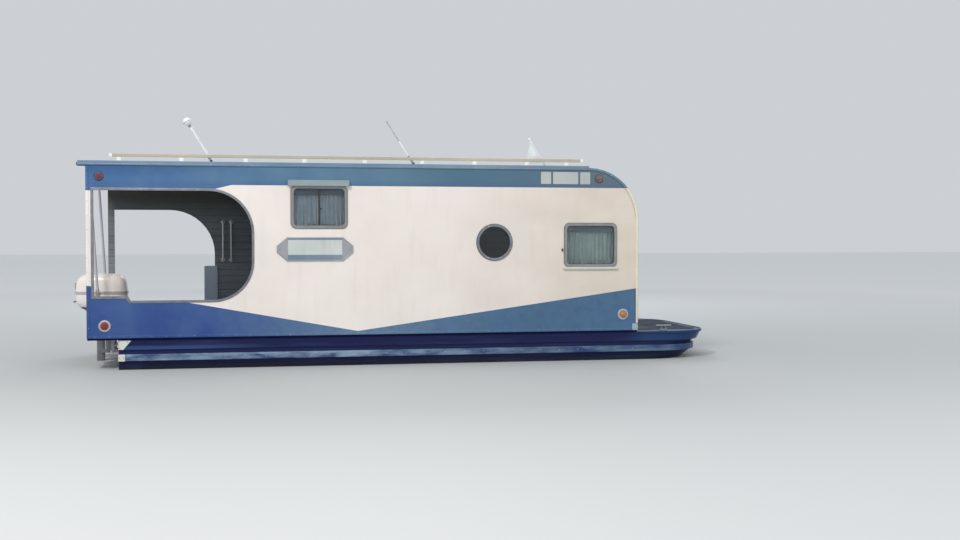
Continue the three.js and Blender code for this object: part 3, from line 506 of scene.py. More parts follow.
def edge_moulding_paint():
    """The moulding round the cabin's outline: faded band blue over the sheets, cream down the corner."""
    finish = Finish("edge_moulding_paint", colour(184, 192, 196), 0.4)
    x, z = finish.axis("X"), finish.axis("Z")
    aft = weathered(finish, colour(96, 124, 152), colour(124, 147, 164), colour(76, 100, 132), 0.3)
    blue = finish.mix(finish.noise(5.0, 4.0), colour(92, 118, 138), colour(116, 138, 152))
    cream = weathered(finish, colour(226, 214, 186), colour(234, 226, 206), colour(186, 172, 140), 0.3)
    upper = finish.mix(finish.between(x, 0.4, 2.0), aft, blue)
    finish.paint(finish.mix(finish.below(z, BAND_FORE[1]), upper, cream))
    finish.gloss(0.3, 0.5, finish.noise(14.0, 4.0))
    finish.bump(finish.noise(60.0, 3.0), 0.0003, 0.4)
    return finish.material


HULL = hull_paint()
RUB_RAIL = rail_paint()
DECK = deck_paint()
ROOF = roof_paint()
EDGE_MOULDING = edge_moulding_paint()

# %% [markdown]
# ## Small finishes
# The rest of the boat needs a couple of metals, rubber, plain enamels, glass, lamp plastic, cloth
# and varnished wood. One function makes every plain enamel, because they differ only in colour
# and in how chalky they are.

# %% Small finishes
THREADS = 900.0


def enamel(name, base, chalk, dirt, rough=(0.25, 0.45)):
    """Plain paint, from the screen colours of its body, its chalky patches and its dirt."""
    base, chalk, dirt = colour(*base), colour(*chalk), colour(*dirt)
    finish = Finish(name, base, rough[0])
    finish.paint(weathered(finish, base, chalk, dirt))
    finish.gloss(*rough, finish.noise(11.0, 4.0))
    finish.bump(finish.noise(70.0, 3.0), 0.0003, 0.4)
    return finish.material


def bare_metal(name, base, dull, rough, scale=30.0, metal=1.0):
    """Metal that has dulled in clouds, from two screen colours."""
    base, dull = colour(*base), colour(*dull)
    finish = Finish(name, base, rough[0], metal)
    cloud = finish.between(finish.noise(scale / 4, 5.0, 0.6), 0.35, 0.7)
    finish.paint(finish.mix(cloud, base, dull))
    finish.gloss(*rough, finish.noise(scale, 5.0, stretch=(0.3, 1.0, 1.0)))
    finish.bump(finish.noise(scale * 2, 4.0), 0.0003, 0.4)
    return finish.material


# The aft window's meeting bar, and the level that its drip cap starts at.
MULLION_X = -1.268
MEETING_HALF_WIDTH = 0.0125
MEETING_FOOT = 1.694
MEETING_HEAD = 2.134
DRIP_CAP_FOOT = 2.1665


def window_frame_finish():
    """Anodised grey bars, a dark meeting bar, and a drip cap in a paler grey-blue."""
    finish = Finish("window_frame_anodised", colour(140, 140, 142), 0.4, 0.35)
    bars = finish.mix(finish.noise(9.0, 5.0), colour(124, 124, 128), colour(158, 158, 156))
    cap = finish.mix(finish.noise(7.0, 4.0), colour(140, 155, 162), colour(160, 172, 176))
    x, z = finish.axis("X"), finish.axis("Z")
    across = finish.math("ABSOLUTE", finish.math("SUBTRACT", x, MULLION_X))
    upright = finish.both(finish.above(z, MEETING_FOOT), finish.below(z, MEETING_HEAD))
    meeting = finish.both(finish.below(across, MEETING_HALF_WIDTH), upright)
    bars = finish.mix(meeting, bars, colour(58, 58, 60))
    finish.paint(finish.mix(finish.above(z, DRIP_CAP_FOOT), bars, cap))
    finish.gloss(0.3, 0.5, finish.noise(40.0, 4.0, stretch=(0.2, 1.0, 1.0)))
    finish.bump(finish.noise(90.0, 3.0), 0.0002, 0.4)
    return finish.material


def window_glass():
    finish = Finish("window_pane", (0.80, 0.88, 0.88, 1.0), 0.03, Transmission_Weight=1.0, IOR=1.45)
    film = finish.between(finish.noise(5.0, 5.0, 0.6), 0.4, 0.8, 0.02, 0.10)
    finish.fill(finish.shader, Roughness=film)
    finish.paint(finish.mix(finish.noise(3.0, 3.0), (0.78, 0.86, 0.88, 1.0), (0.86, 0.92, 0.92, 1.0)))
    finish.bump(finish.noise(2.5, 2.0), 0.0006, 0.3)
    return finish.material


def lens(name, base, deep):
    """Ribbed lamp plastic, from two screen colours."""
    base, deep = colour(*base), colour(*deep)
    finish = Finish(name, base, 0.18, Transmission_Weight=0.2, IOR=1.49, Coat_Weight=0.4)
    finish.paint(finish.mix(finish.noise(20.0, 3.0), base, deep))
    finish.gloss(0.16, 0.34, finish.noise(25.0, 4.0))
    finish.bump(finish.wave(38.0, "X"), 0.0012, 0.6)
    return finish.material


def cloth(name, light, dark):
    """Woven cloth, from two screen colours."""
    light, dark = colour(*light), colour(*dark)
    finish = Finish(name, light, 0.85, Sheen_Weight=0.25)
    threads = finish.math("ADD", finish.wave(THREADS, "X"), finish.wave(THREADS, "Z"))
    finish.paint(finish.mix(finish.between(finish.noise(6.0, 4.0), 0.3, 0.7), dark, light))
    finish.gloss(0.75, 0.95, finish.noise(30.0, 3.0))
    finish.bump(threads, 0.0003, 0.5)
    return finish.material


def rubber(name, base, worn, rough=(0.5, 0.75)):
    """Rubber or soft plastic, from two screen colours."""
    base, worn = colour(*base), colour(*worn)
    finish = Finish(name, base, rough[0])
    finish.paint(finish.mix(finish.noise(14.0, 5.0), base, worn))
    finish.gloss(*rough, finish.noise(22.0, 4.0))
    finish.bump(finish.noise(160.0, 2.0), 0.0002, 0.4)
    return finish.material


def varnished_wood():
    finish = Finish("varnished_mahogany", colour(116, 70, 40), 0.3, Coat_Weight=0.5, Coat_Roughness=0.12)
    grain = finish.noise(5.0, 9.0, 0.7, stretch=(9.0, 9.0, 0.8))
    pores = finish.noise(120.0, 4.0, 0.6, stretch=(1.0, 1.0, 0.06))
    finish.paint(finish.mix(finish.between(grain, 0.35, 0.65), colour(92, 50, 28), colour(150, 98, 58)))
    finish.gloss(0.22, 0.42, finish.noise(7.0, 4.0))
    finish.bump(pores, 0.0004, 0.5)
    return finish.material


PLAQUE_CENTRE = -1.318
PLAQUE_SHOULDER = 0.322


def plaque_finish():
    """A pale board with grey painted ends."""
    finish = Finish("plaque_enamel", colour(206, 212, 210), 0.35)
    across = finish.math("ABSOLUTE", finish.math("SUBTRACT", finish.axis("X"), PLAQUE_CENTRE))
    pale = weathered(finish, colour(190, 197, 197), colour(204, 209, 207), colour(148, 158, 164), 0.45)
    ends = finish.mix(finish.noise(14.0, 4.0), colour(140, 142, 148), colour(164, 166, 170))
    finish.paint(finish.mix(finish.above(across, PLAQUE_SHOULDER), pale, ends))
    finish.gloss(0.28, 0.45, finish.noise(15.0, 4.0))
    finish.bump(finish.noise(80.0, 3.0), 0.0003, 0.4)
    return finish.material


ALUMINIUM = bare_metal("weathered_aluminium", (188, 190, 193), (146, 150, 154), (0.3, 0.5))
STAINLESS = bare_metal("stainless_fastener", (205, 206, 208), (150, 150, 150), (0.18, 0.35), 80.0)
BRONZE = bare_metal("propeller_alloy", (140, 136, 128), (88, 86, 80), (0.35, 0.6), 40.0)
TRIM_GREY = bare_metal("grey_trim", (136, 138, 146), (112, 114, 122), (0.35, 0.55), 40.0, metal=0.3)
WINDOW_FRAME = window_frame_finish()
DOOR = enamel("door_enamel", (222, 218, 210), (234, 231, 226), (176, 168, 152))
RAIL_CREAM = enamel("rail_enamel", (172, 163, 144), (188, 181, 164), (142, 133, 114))
FITTING_WHITE = enamel("fitting_enamel", (220, 226, 228), (236, 239, 240), (170, 176, 178))
SILL_GREEN = enamel("sill_enamel", (196, 200, 184), (210, 212, 200), (160, 164, 148))
STAFF_WHITE = enamel("staff_enamel", (214, 218, 224), (232, 235, 238), (160, 164, 168))
COAMING_BLUE = enamel("coaming_enamel", (52, 88, 150), (84, 116, 164), (44, 56, 82))
PLAQUE_PALE = plaque_finish()
PLAQUE_EDGE = enamel("plaque_edge_enamel", (106, 126, 146), (128, 146, 162), (84, 96, 112))
RIM_GREY = enamel("plaque_rim_enamel", (146, 150, 156), (166, 170, 174), (116, 120, 128))
BRACKET_TEAL = enamel("corner_bracket_enamel", (146, 176, 180), (166, 192, 194), (112, 138, 144))
PANEL_PALE = enamel("panel_enamel", (172, 180, 177), (188, 194, 190), (140, 148, 148))
MOTOR_GREY = enamel("motor_casting", (96, 100, 106), (126, 130, 134), (60, 60, 58), (0.35, 0.6))
COWL_WHITE = enamel("cowl_gloss", (232, 222, 216), (240, 234, 230), (156, 148, 132), (0.15, 0.32))
# Pale paint on the aluminium struts stands in for their bright reflection of the sky.
STRUT_PAINTED_REFLECTION = enamel("strut_sky_reflection", (170, 172, 180), (190, 191, 197), (128, 128, 134))
BUMPER_PALE = enamel("bumper_enamel", (198, 214, 234), (212, 224, 238), (150, 162, 178))
COWL_BAND = enamel("cowl_band_enamel", (168, 164, 164), (184, 180, 178), (130, 126, 120))
PLATE_PALE = enamel("corner_plate_enamel", (196, 198, 196), (214, 214, 210), (150, 148, 138))
BEZEL_PALE = enamel("bezel_plastic", (168, 163, 168), (186, 182, 184), (134, 126, 126))
LAMP_RED = lens("lens_red", (168, 36, 30), (120, 20, 18))
LAMP_RED_OLD = lens("lens_red_faded", (128, 62, 82), (92, 44, 70))
LAMP_AMBER = lens("lens_amber", (206, 150, 66), (170, 110, 40))
LAMP_AMBER_OLD = lens("lens_amber_faded", (134, 108, 84), (104, 78, 58))
LAMP_OPAL = lens("lens_opal", (226, 228, 226), (206, 209, 210))
CURTAIN_GREY = cloth("curtain_cloth", (174, 182, 194), (150, 156, 171))
CURTAIN_GREEN = cloth("screen_cloth", (184, 196, 191), (162, 173, 171))
# Dark headers across the top of the windows: painted shade.
TOP_SHADE_CLOTH = cloth("blind_header_cloth", (90, 101, 117), (73, 82, 100))
TOP_SHADE_GREEN = cloth("screen_header_cloth", (124, 140, 150), (104, 117, 126))
PENNANT_CLOTH = cloth("pennant_cotton", (226, 232, 232), (196, 204, 206))
GLASS = window_glass()
RUBBER = rubber("seal_rubber", (36, 37, 39), (66, 68, 70))
BEAD_GREY = rubber("bead_rubber", (66, 68, 72), (92, 94, 98))
GRIP_BLACK = rubber("grip_plastic", (30, 30, 31), (46, 46, 48), (0.35, 0.5))
WOOD = varnished_wood()
print("materials:", len(bpy.data.materials))

# %% [markdown]
# ## Dressing the solids
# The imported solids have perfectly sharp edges, which catch no light. Real sheet and castings have
# small rounded edges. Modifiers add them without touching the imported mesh: a weld closes the
# facets' seams, a flat dissolve removes the triangulation, a bevel rounds what is left, and the
# weighted normals keep flat faces flat.

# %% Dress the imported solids
BEVEL_ANGLE = math.radians(28)
FLATNESS = math.radians(1.0)


def round_edges(thing, width):
    """Bevels the edges where two faces meet at a clear angle."""
    bevel = thing.modifiers.new("edge", "BEVEL")
    bevel.width = width
    bevel.segments = 2
    bevel.limit_method = "ANGLE"
    bevel.angle_limit = BEVEL_ANGLE
    bevel.use_clamp_overlap = True


def dress(node, finish, edge):
    """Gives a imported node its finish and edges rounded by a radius."""
    thing = NODES[node]
    thing.data.materials.clear()
    thing.data.materials.append(finish)
    thing.data.polygons.foreach_set("use_smooth", [True] * len(thing.data.polygons))
    weld = thing.modifiers.new("weld", "WELD")
    weld.merge_threshold = 0.00002
    flat = thing.modifiers.new("flat", "DECIMATE")
    flat.decimate_type = "DISSOLVE"
    flat.angle_limit = FLATNESS
    if edge:
        round_edges(thing, edge)
    thing.modifiers.new("normals", "WEIGHTED_NORMAL").keep_sharp = True


# Each finish with the radius of its nodes' rounded edges and the nodes that take it.
DRESSING = [
    (HULL, 0.004, ["hull"]),
    (RUB_RAIL, 0.006, ["rub_rail"]),
    (ROOF, 0.003, ["roof"]),
    (DECK, 0.001, ["cabin_floor", "foredeck_panel"]),
    (BULKHEAD, 0.002, ["aft_bulkhead", "front_wall"]),
    (DOOR, 0.002, ["aft_door", "front_door"]),
    (GLASS, 0.0, ["front_door_glass"]),
    (ALUMINIUM, 0.003, ["motor_bracket"]),
    (MOTOR_GREY, 0.002, ["motor_clamp", "motor_swivel", "motor_leg"]),
    (BRONZE, 0.001, ["propeller"]),
    (STAFF_WHITE, 0.001, ["light_staff", "flagstaff"]),
    (ALUMINIUM, 0.001, ["antenna"]),
    (WOOD, 0.004, ["helm_console"]),
    (GRIP_BLACK, 0.001, ["helm_wheel"]),
]
# The same for the nodes that come in pairs, one to each side.
PAIR_DRESSING = [
    (CABIN, 0.002, ["side_wall"]),
    (COAMING_BLUE, 0.003, ["stern_coaming"]),
    (STRUT_PAINTED_REFLECTION, 0.0, ["roof_strut"]),
    (ALUMINIUM, 0.003, ["bow_cleat"]),
    (WINDOW_FRAME, 0.002, ["long_window_frame", "fore_window_frame"]),
    (GLASS, 0.0, ["long_window_glass", "fore_window_glass", "windscreen", "porthole_glass"]),
    (TRIM_GREY, 0.003, ["porthole_ring"]),
    (PLAQUE_PALE, 0.003, ["plaque"]),
    (RAIL_CREAM, 0.004, ["roof_rail"]),
    (LAMP_RED_OLD, 0.001, ["lamp_aft_upper"]),
    (LAMP_RED, 0.001, ["lamp_aft_lower"]),
    (LAMP_AMBER_OLD, 0.001, ["lamp_fore_upper"]),
    (LAMP_AMBER, 0.001, ["lamp_fore_lower"]),
]
for finish, edge, names in DRESSING:
    for name in names:
        dress(name, finish, edge)
for finish, edge, names in PAIR_DRESSING:
    for name in names:
        for side in SIDES:
            dress(f"{name}_{side}", finish, edge)
print("dressed:", sum(1 for thing in NODES.values() if thing.modifiers))

# %% [markdown]
# ## A bench for fittings
# Gaskets, trims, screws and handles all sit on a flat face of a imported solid. Each could be a
# Blender primitive moved by hand, but then every place would be a guess. Instead a small class
# builds fittings in bmesh on a surface: a function that turns (along, up, off) into a place on the
# boat, where off is the distance out from the face. The same fitting then goes on the starboard
# wall, the port wall, the inside or a bulkhead with no new numbers.

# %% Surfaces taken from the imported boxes


def corners(node):
    """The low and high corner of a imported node's box."""
    low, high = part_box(node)
    return Vector(low), Vector(high)


WALL_FACE = -corners("side_wall_starboard")[0].y
WALL_INNER = -corners("side_wall_starboard")[1].y
ROOF_EDGE = -corners("roof")[0].y
ROOF_AFT = corners("roof")[0].x
EAVES = 2.42
NOSE_RADIUS = 0.65
NOSE_X = CABIN_FRONT - NOSE_RADIUS
NOSE_Z = EAVES - NOSE_RADIUS
SEAT = 0.0003


def side_surface(side, face=WALL_FACE, facing=1):
    """A face along the boat: (along, up, off) to a place."""
    sign = SIDES[side]
    return lambda along, up, off: Vector((along, sign * (face + facing * off), up))


def cross_surface(face, facing):
    """A face across the boat, looking forward (1) or aft (-1): (across, up, off) to a place."""
    return lambda across, up, off: Vector((face + facing * off, across, up))


def deck_surface(face):
    """A level face: (along, across, off) to a place."""
    return lambda along, across, off: Vector((along, across, face + off))


def free_space(x, y, z):
    """No face at all: the place itself."""
    return Vector((x, y, z))


for label, reach in (("wall face", WALL_FACE), ("wall inner", WALL_INNER), ("roof edge", ROOF_EDGE)):
    print(label, round(reach, 4))

# %% The fitting builder
# Shares of a screw's radius and height, from its rim to the bottom of its recess.
SCREW_PROFILE = [(0.95, -0.1), (1.0, 0.25), (0.86, 0.7), (0.55, 1.0), (0.38, 1.0), (0.32, 0.5)]


def ring_angles(sides):
    """Angles of the corners of a regular ring."""
    return [2 * math.pi * step / sides for step in range(sides)]


def box_outline(low_a, low_u, high_a, high_u):
    """A plain rectangle, from its low and high corners."""
    return [(low_a, low_u), (high_a, low_u), (high_a, high_u), (low_a, high_u)]


class Work:
    """Closed fittings gathered in one mesh, on one surface."""

    def __init__(self, surface=free_space):
        self.mesh = bmesh.new()
        self.surface = surface

    def skin(self, rings, closed=False):
        """Faces between rings of places, with an end cap on each end unless they close in a loop."""
        loops = [[self.mesh.verts.new(place) for place in ring] for ring in rings]
        pairs = list(zip(loops, loops[1:]))
        if closed:
            pairs.append((loops[-1], loops[0]))
        else:
            self.mesh.faces.new(loops[0])
            self.mesh.faces.new(loops[-1])
        for first, second in pairs:
            for index, vert in enumerate(first):
                after = (index + 1) % len(first)
                self.mesh.faces.new((vert, first[after], second[after], second[index]))

    def plate(self, outline, low, high):
        """A flat shape between two distances off the surface."""
        self.skin([[self.surface(a, u, off) for a, u in outline] for off in (low, high)])

    def moulding(self, path, section, closed=True):
        """A section of (sideways, off) swept along a path, mitred; sideways is to the way's right."""
        rings = []
        for index, point in enumerate(path):
            here = Vector(point)
            ways = []
            if closed or index > 0:
                ways.append((here - Vector(path[index - 1])).normalized())
            if closed or index < len(path) - 1:
                ways.append((Vector(path[(index + 1) % len(path)]) - here).normalized())
            way = (ways[0] + ways[-1]).normalized()
            right = Vector((way.y, -way.x)) / max(0.3, way.dot(ways[0]))
            rings.append([self.surface(*(here + right * sideways), off) for sideways, off in section])
        self.skin(rings, closed)

    def turned(self, a, u, profile, sides=12):
        """A turned shape standing on the surface, from a profile of (radius, off)."""
        self.skin([[self.surface(a + radius * math.cos(angle), u + radius * math.sin(angle), off)
                    for angle in ring_angles(sides)] for radius, off in profile])

    def screw(self, a, u, off, radius=0.0045, height=0.0024):
        """A domed head with a recess."""
        self.turned(a, u, [(radius * wide, off + height * high) for wide, high in SCREW_PROFILE], 10)

    def bar(self, start, end, profile, sides=16):
        """A round bar between two places, from a profile of (share of the way, radius)."""
        start, end = self.surface(*start), self.surface(*end)
        way = end - start
        turn = way.to_track_quat("Z", "Y")

        def spokes(radius):
            return [turn @ Vector((radius * math.cos(angle), radius * math.sin(angle), 0))
                    for angle in ring_angles(sides)]

        self.skin([[start + way * share + spoke for spoke in spokes(radius)]
                   for share, radius in profile])

    def tube(self, points, radius, sides=10):
        """A round tube through places, twisted as little as possible."""
        points = [self.surface(*point) for point in points]
        side = None
        rings = []
        for index, point in enumerate(points):
            way = (points[min(index + 1, len(points) - 1)] - points[max(index - 1, 0)]).normalized()
            side = way.orthogonal() if side is None else side
            side = (side - way * side.dot(way)).normalized()
            other = way.cross(side)
            rings.append([point + (side * math.cos(angle) + other * math.sin(angle)) * radius
                          for angle in ring_angles(sides)])
        self.skin(rings)


def settle(name, shape, finish, body="root"):
    """Makes a shape one smooth object on a body, with its finish."""
    mesh = bpy.data.meshes.new(name)
    shape.to_mesh(mesh)
    shape.free()
    mesh.materials.append(finish)
    mesh.polygons.foreach_set("use_smooth", [True] * len(mesh.polygons))
    piece = bpy.data.objects.new(name, mesh)
    bpy.context.collection.objects.link(piece)
    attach(piece, body)
    return piece


def place(name, work, finish, body="root", edge=0.0, crisp=35):
    """Settles a work with its faces outwards, sharp where it turns by crisp degrees or more."""
    bmesh.ops.recalc_face_normals(work.mesh, faces=work.mesh.faces)
    piece = settle(name, work.mesh, finish, body)
    piece.data.set_sharp_from_angle(angle=math.radians(crisp))
    if edge:
        round_edges(piece, edge)
        piece.modifiers.new("normals", "WEIGHTED_NORMAL").keep_sharp = True
    return piece


def place_screws(name, surface, heads, off, radius=0.0045, height=0.0024):
    """One object with a screw at each place of a surface."""
    screws = Work(surface)
    for along, up in heads:
        screws.screw(along, up, off, radius, height)
    place(name, screws, STAINLESS)


def hang_cloth(name, rows, finish, node):
    """A sheet through rows of places, which stands for a soft node of the boat."""
    sheet = bmesh.new()
    grid = [[sheet.verts.new(point) for point in row] for row in rows]
    for upper, lower in zip(grid, grid[1:]):
        for index in range(len(upper) - 1):
            sheet.faces.new((upper[index], upper[index + 1], lower[index + 1], lower[index]))
    piece = settle(name, sheet, finish)
    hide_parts(node)
    return piece


# %% Outlines that the fittings follow
CORNER_STEPS = 6
BEND_STEPS = 5


def arc(centre_a, centre_u, radius, start, end, steps):
    """Points on an arc between two angles in degrees, both ends included."""
    turns = [math.radians(start + (end - start) * step / steps) for step in range(steps + 1)]
    return [(centre_a + radius * math.cos(turn), centre_u + radius * math.sin(turn)) for turn in turns]


def rounded(low_a, low_u, high_a, high_u, radius):
    """A rectangle with round corners, anticlockwise from its lower right corner."""
    outline = []
    for a, u, start in ((high_a - radius, low_u + radius, -90), (high_a - radius, high_u - radius, 0),
                        (low_a + radius, high_u - radius, 90), (low_a + radius, low_u + radius, 180)):
        outline += arc(a, u, radius, start, start + 90, CORNER_STEPS)
    return outline


def circle(a, u, radius, steps):
    return arc(a, u, radius, 0, 360, steps)[:-1]


def spaced(path, spacing, offset=0.0, closed=False):
    """Places at equal steps along a path, moved to the right of the way by offset."""
    points = [Vector(point) for point in path]
    if closed:
        points.append(points[0])
    spans = [(start, end, (end - start).length) for start, end in zip(points, points[1:])]
    total = sum(length for _, _, length in spans)
    count = max(1, round(total / spacing))
    places = []
    for step in range(count):
        distance = total * (step + 0.5) / count
        for start, end, length in spans:
            if distance <= length:
                way = (end - start) / length
                places.append((start + way * distance) + Vector((way.y, -way.x)) * offset)
                break
            distance -= length
    return places


def grip_points(start, end, off, bend=0.02):
    """The way of a grab bar on a surface: out at start, along, and back in at end."""
    start, end = Vector(start), Vector(end)
    way = (end - start).normalized()
    turns = [math.pi / 2 * step / BEND_STEPS for step in range(BEND_STEPS + 1)]
    shifts = [(bend * (1 - math.cos(turn)), off - bend + bend * math.sin(turn)) for turn in turns]
    points = [(*start, 0.0)] + [(*(start + way * shift), rise) for shift, rise in shifts]
    return points + [(*(end - way * shift), rise) for shift, rise in reversed(shifts)] + [(*end, 0.0)]


# %% [markdown]
# ## Mouldings round the cabin
# Where two sheets meet, the yard covers the joint with a screwed moulding. One half-round strip
# follows the roof's edge from the stern, round the nose and down the front corner, with an upright
# lip along the straight roof that keeps rain off the walls. A flat strip closes the foot of each
# wall and its aft corner. A curve with a bevel profile could draw them, but a swept section in
# mesh code keeps the mitres exact and the back flat on the wall.

# %% Cabin mouldings
SKIN_MIDDLE = 0.0175
HALF_ROUND = [(-0.012, -0.0048), (0.012, -0.0048), (0.012, 0.0030), (0.007, 0.0068), (0.0, 0.0078),
              (-0.007, 0.0068), (-0.012, 0.0030)]
GUTTER_LIP = [(-0.040, 0.0006), (-0.0125, 0.0006), (-0.0125, 0.0036), (-0.037, 0.0036),
              (-0.040, 0.0026)]
FLAT_STRIP = [(-0.016, SEAT), (0.016, SEAT), (0.016, 0.0035), (0.012, 0.005), (-0.012, 0.005),
              (-0.016, 0.0035)]
SCREW_SPACING = 0.16
EDGE_PATH = ([(ROOF_AFT + 0.012, EAVES - SKIN_MIDDLE)]
             + arc(NOSE_X, NOSE_Z, NOSE_RADIUS - SKIN_MIDDLE, 90, 0, 28)
             + [(CABIN_FRONT - SKIN_MIDDLE, 0.47)])
FOOT_PATH = [(-3.94, 0.393), (2.655, 0.393)]
AFT_PATH = [(-3.932, 0.412), (-3.932, 2.38)]

for side in SIDES:
    edging = Work(side_surface(side, ROOF_EDGE))
    edging.moulding(EDGE_PATH, HALF_ROUND, closed=False)
    edging.moulding([EDGE_PATH[0], (NOSE_X, EAVES - SKIN_MIDDLE)], GUTTER_LIP, closed=False)
    place(f"edge_moulding_{side}", edging, EDGE_MOULDING)
    strips = Work(side_surface(side))
    strips.moulding(FOOT_PATH, FLAT_STRIP, closed=False)
    strips.moulding(AFT_PATH, FLAT_STRIP, closed=False)
    place(f"wall_strips_{side}", strips, CABIN)
    screws = Work(side_surface(side))
    for a, u in spaced(EDGE_PATH, SCREW_SPACING):
        screws.screw(a, u, ROOF_EDGE - WALL_FACE + 0.0074)
    for path in (FOOT_PATH, AFT_PATH):
        for a, u in spaced(path, SCREW_SPACING):
            screws.screw(a, u, 0.0048)
    place(f"moulding_screws_{side}", screws, STAINLESS)
print("edge moulding screws per side:", len(spaced(EDGE_PATH, SCREW_SPACING)))

# %% [markdown]
# At the foot of the front corner a pale cast bracket ties the wall to the deck, and the roof has
# low battens over its sheet seams. The battens follow the roof's camber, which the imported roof
# has in eight flat facets, so the same facet lines are worked out from the camber formula.

# %% Corner brackets and roof battens
CAMBER = 0.04
CAMBER_HALF = 1.06
FACETS = 4
BATTENS = (-2.9, -1.7, -0.5, 0.7)
BATTEN_HALF = 0.02
BATTEN_END = 1.165
BATTEN_SCREW_STEP = 0.21


def roof_height(across):
    """Height of the roof's top at a distance off the centreline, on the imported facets."""
    step = CAMBER_HALF / FACETS
    low = min(FACETS, int(abs(across) / step))
    lines = [EAVES + CAMBER * max(0.0, 1 - (index / FACETS) ** 2) for index in range(FACETS + 2)]
    return lines[low] + (lines[low + 1] - lines[low]) * min(1.0, abs(across) / step - low)


for side in SIDES:
    bracket = Work(side_surface(side))
    bracket.plate(rounded(2.662, 0.378, 2.738, 0.462, 0.012), SEAT, 0.007)
    bracket.plate(rounded(2.680, 0.396, 2.722, 0.444, 0.010), 0.0072, 0.012)
    place(f"front_corner_bracket_{side}", bracket, BRACKET_TEAL, edge=0.0015)
    bolt_places = [(a, u) for u in (0.388, 0.452) for a in (2.671, 2.729)]
    place_screws(f"front_corner_bolts_{side}", side_surface(side), bolt_places, 0.0068, 0.005)

facet_lines = [CAMBER_HALF * step / FACETS for step in range(-FACETS, FACETS + 1)]
battens = Work()
batten_screws = Work()
for x in BATTENS:
    foot, crown = BATTEN_HALF, BATTEN_HALF * 0.8
    battens.skin([[(x + half, y, roof_height(y) + rise)
                   for half, rise in ((-foot, SEAT), (foot, SEAT), (crown, 0.0045), (-crown, 0.0045))]
                  for y in [-BATTEN_END, *facet_lines, BATTEN_END]])
    for step in range(-5, 6):
        y = BATTEN_SCREW_STEP * step
        batten_screws.surface = deck_surface(roof_height(y))
        batten_screws.screw(x, y, 0.004)
place("roof_battens", battens, ROOF)
place("roof_batten_screws", batten_screws, STAINLESS)
print("roof height at the middle:", round(roof_height(0), 4), "at a rail:", round(roof_height(1.17), 4))

# %% [markdown]
# ## The porch
# The openings of the porch are edged with a pressed angle: a flange on the wall and a lip that
# covers the sheet's raw edge. The forward corners are big quarter rounds, which give the opening
# its letter D look from the side. On the far wall inside are two pale grab bars, and a pale board
# stands past the edge of the boarding side's opening, where feet and crates would chip the sheet.

# %% Porch trims and grab bars
PORCH_AFT = -3.87
LEDGE = 0.864
LEDGE_END = -3.49
SLOPE = 0.03


def porch_outline(foot, fore, sill, head, lower_corner, upper_corner):
    """A letter D: the points of its foot, two round corners forward, and its head's aft end."""
    return (foot + arc(fore - lower_corner, sill + lower_corner, lower_corner, -90, 0, 10)
            + arc(fore - upper_corner, head - upper_corner, upper_corner, 0, 90, 10)
            + [(PORCH_AFT, head)])


STARBOARD_SILL = 0.81
PORT_SILL = 0.56
STARBOARD_FOOT = [(PORCH_AFT, LEDGE), (LEDGE_END, LEDGE), (LEDGE_END + SLOPE, STARBOARD_SILL)]
STARBOARD_PORCH = porch_outline(STARBOARD_FOOT, -2.06, STARBOARD_SILL, 2.102, 0.455, 0.5)
PORT_PORCH = porch_outline([(PORCH_AFT, PORT_SILL)], -2.54, PORT_SILL, 1.925, 0.15, 0.6)
ANGLE_TRIM = [(-0.0025, -0.0395), (-0.0004, -0.0395), (-0.0004, SEAT), (0.026, SEAT), (0.026, 0.003),
              (0.023, 0.0045), (-0.0025, 0.0045)]
for side, path in (("starboard", STARBOARD_PORCH), ("port", PORT_PORCH)):
    trim = Work(side_surface(side))
    trim.moulding(path, ANGLE_TRIM)
    place(f"porch_trim_{side}", trim, TRIM_GREY)
    heads = spaced(path, 0.13, 0.013, closed=True)
    place_screws(f"porch_trim_screws_{side}", side_surface(side), heads, 0.0042)

far_wall = side_surface("port", WALL_INNER, -1)
GRAB_BARS = (-2.43, -2.32)
GRAB_FOOT = 1.24
GRAB_HEAD = 1.76
ROSETTE = [(0.028, SEAT), (0.028, 0.004), (0.018, 0.008)]
bars = Work(far_wall)
for x in GRAB_BARS:
    bars.tube(grip_points((x, GRAB_FOOT), (x, GRAB_HEAD), 0.05), 0.013, 12)
    for z in (GRAB_FOOT, GRAB_HEAD):
        bars.turned(x, z, ROSETTE, 16)
place("porch_grab_bars", bars, FITTING_WHITE)
bumper = Work(far_wall)
bumper.plate(rounded(-2.685, 0.66, -2.505, 1.16, 0.020), SEAT, 0.022)
place("porch_bumper", bumper, BUMPER_PALE, edge=0.004)
bumper_heads = [(-2.52, z) for z in (0.70, 0.91, 1.12)]
place_screws("porch_bumper_screws", far_wall, bumper_heads, 0.0218, 0.006, 0.003)
print("porch trim points:", len(STARBOARD_PORCH), "and", len(PORT_PORCH))

# %% [markdown]
# ## Windows
# Each side window is a pane in a rubber bead behind a screwed metal frame, with a seal between
# frame and wall. The aft window slides, so it has a dark meeting bar with a latch, and a drip cap.
# The fore window has a sill and a turn button. Behind both panes a dark header crosses the top as
# painted shade, and a pleated curtain hangs on a rod.

# %% Window numbers
# Aft end, foot, fore end and head of each frame's outside.
WINDOWS = {"long": (-1.604, 1.660, -0.932, 2.168), "fore": (1.772, 1.182, 2.452, 1.728)}
WINDOW_BAR = 0.034
WINDOW_CORNER = 0.045
FRAME_PROUD = 0.014
PANE_BACK = -0.016
# How far below the frame's bar the dark header of painted shade reaches.
SHADE_HEADER_DROP = 0.075
# A curtain rod stands this far inside the wall and this far below the frame's head.
ROD_OFF = 0.0125
ROD_DROP = 0.020
SILL_Z = 1.162


def frame_outline(window, inset, radius=WINDOW_CORNER):
    """The frame's outside, moved in by an inset."""
    aft, foot, fore, head = window
    return rounded(aft + inset, foot + inset, fore - inset, head - inset, radius)


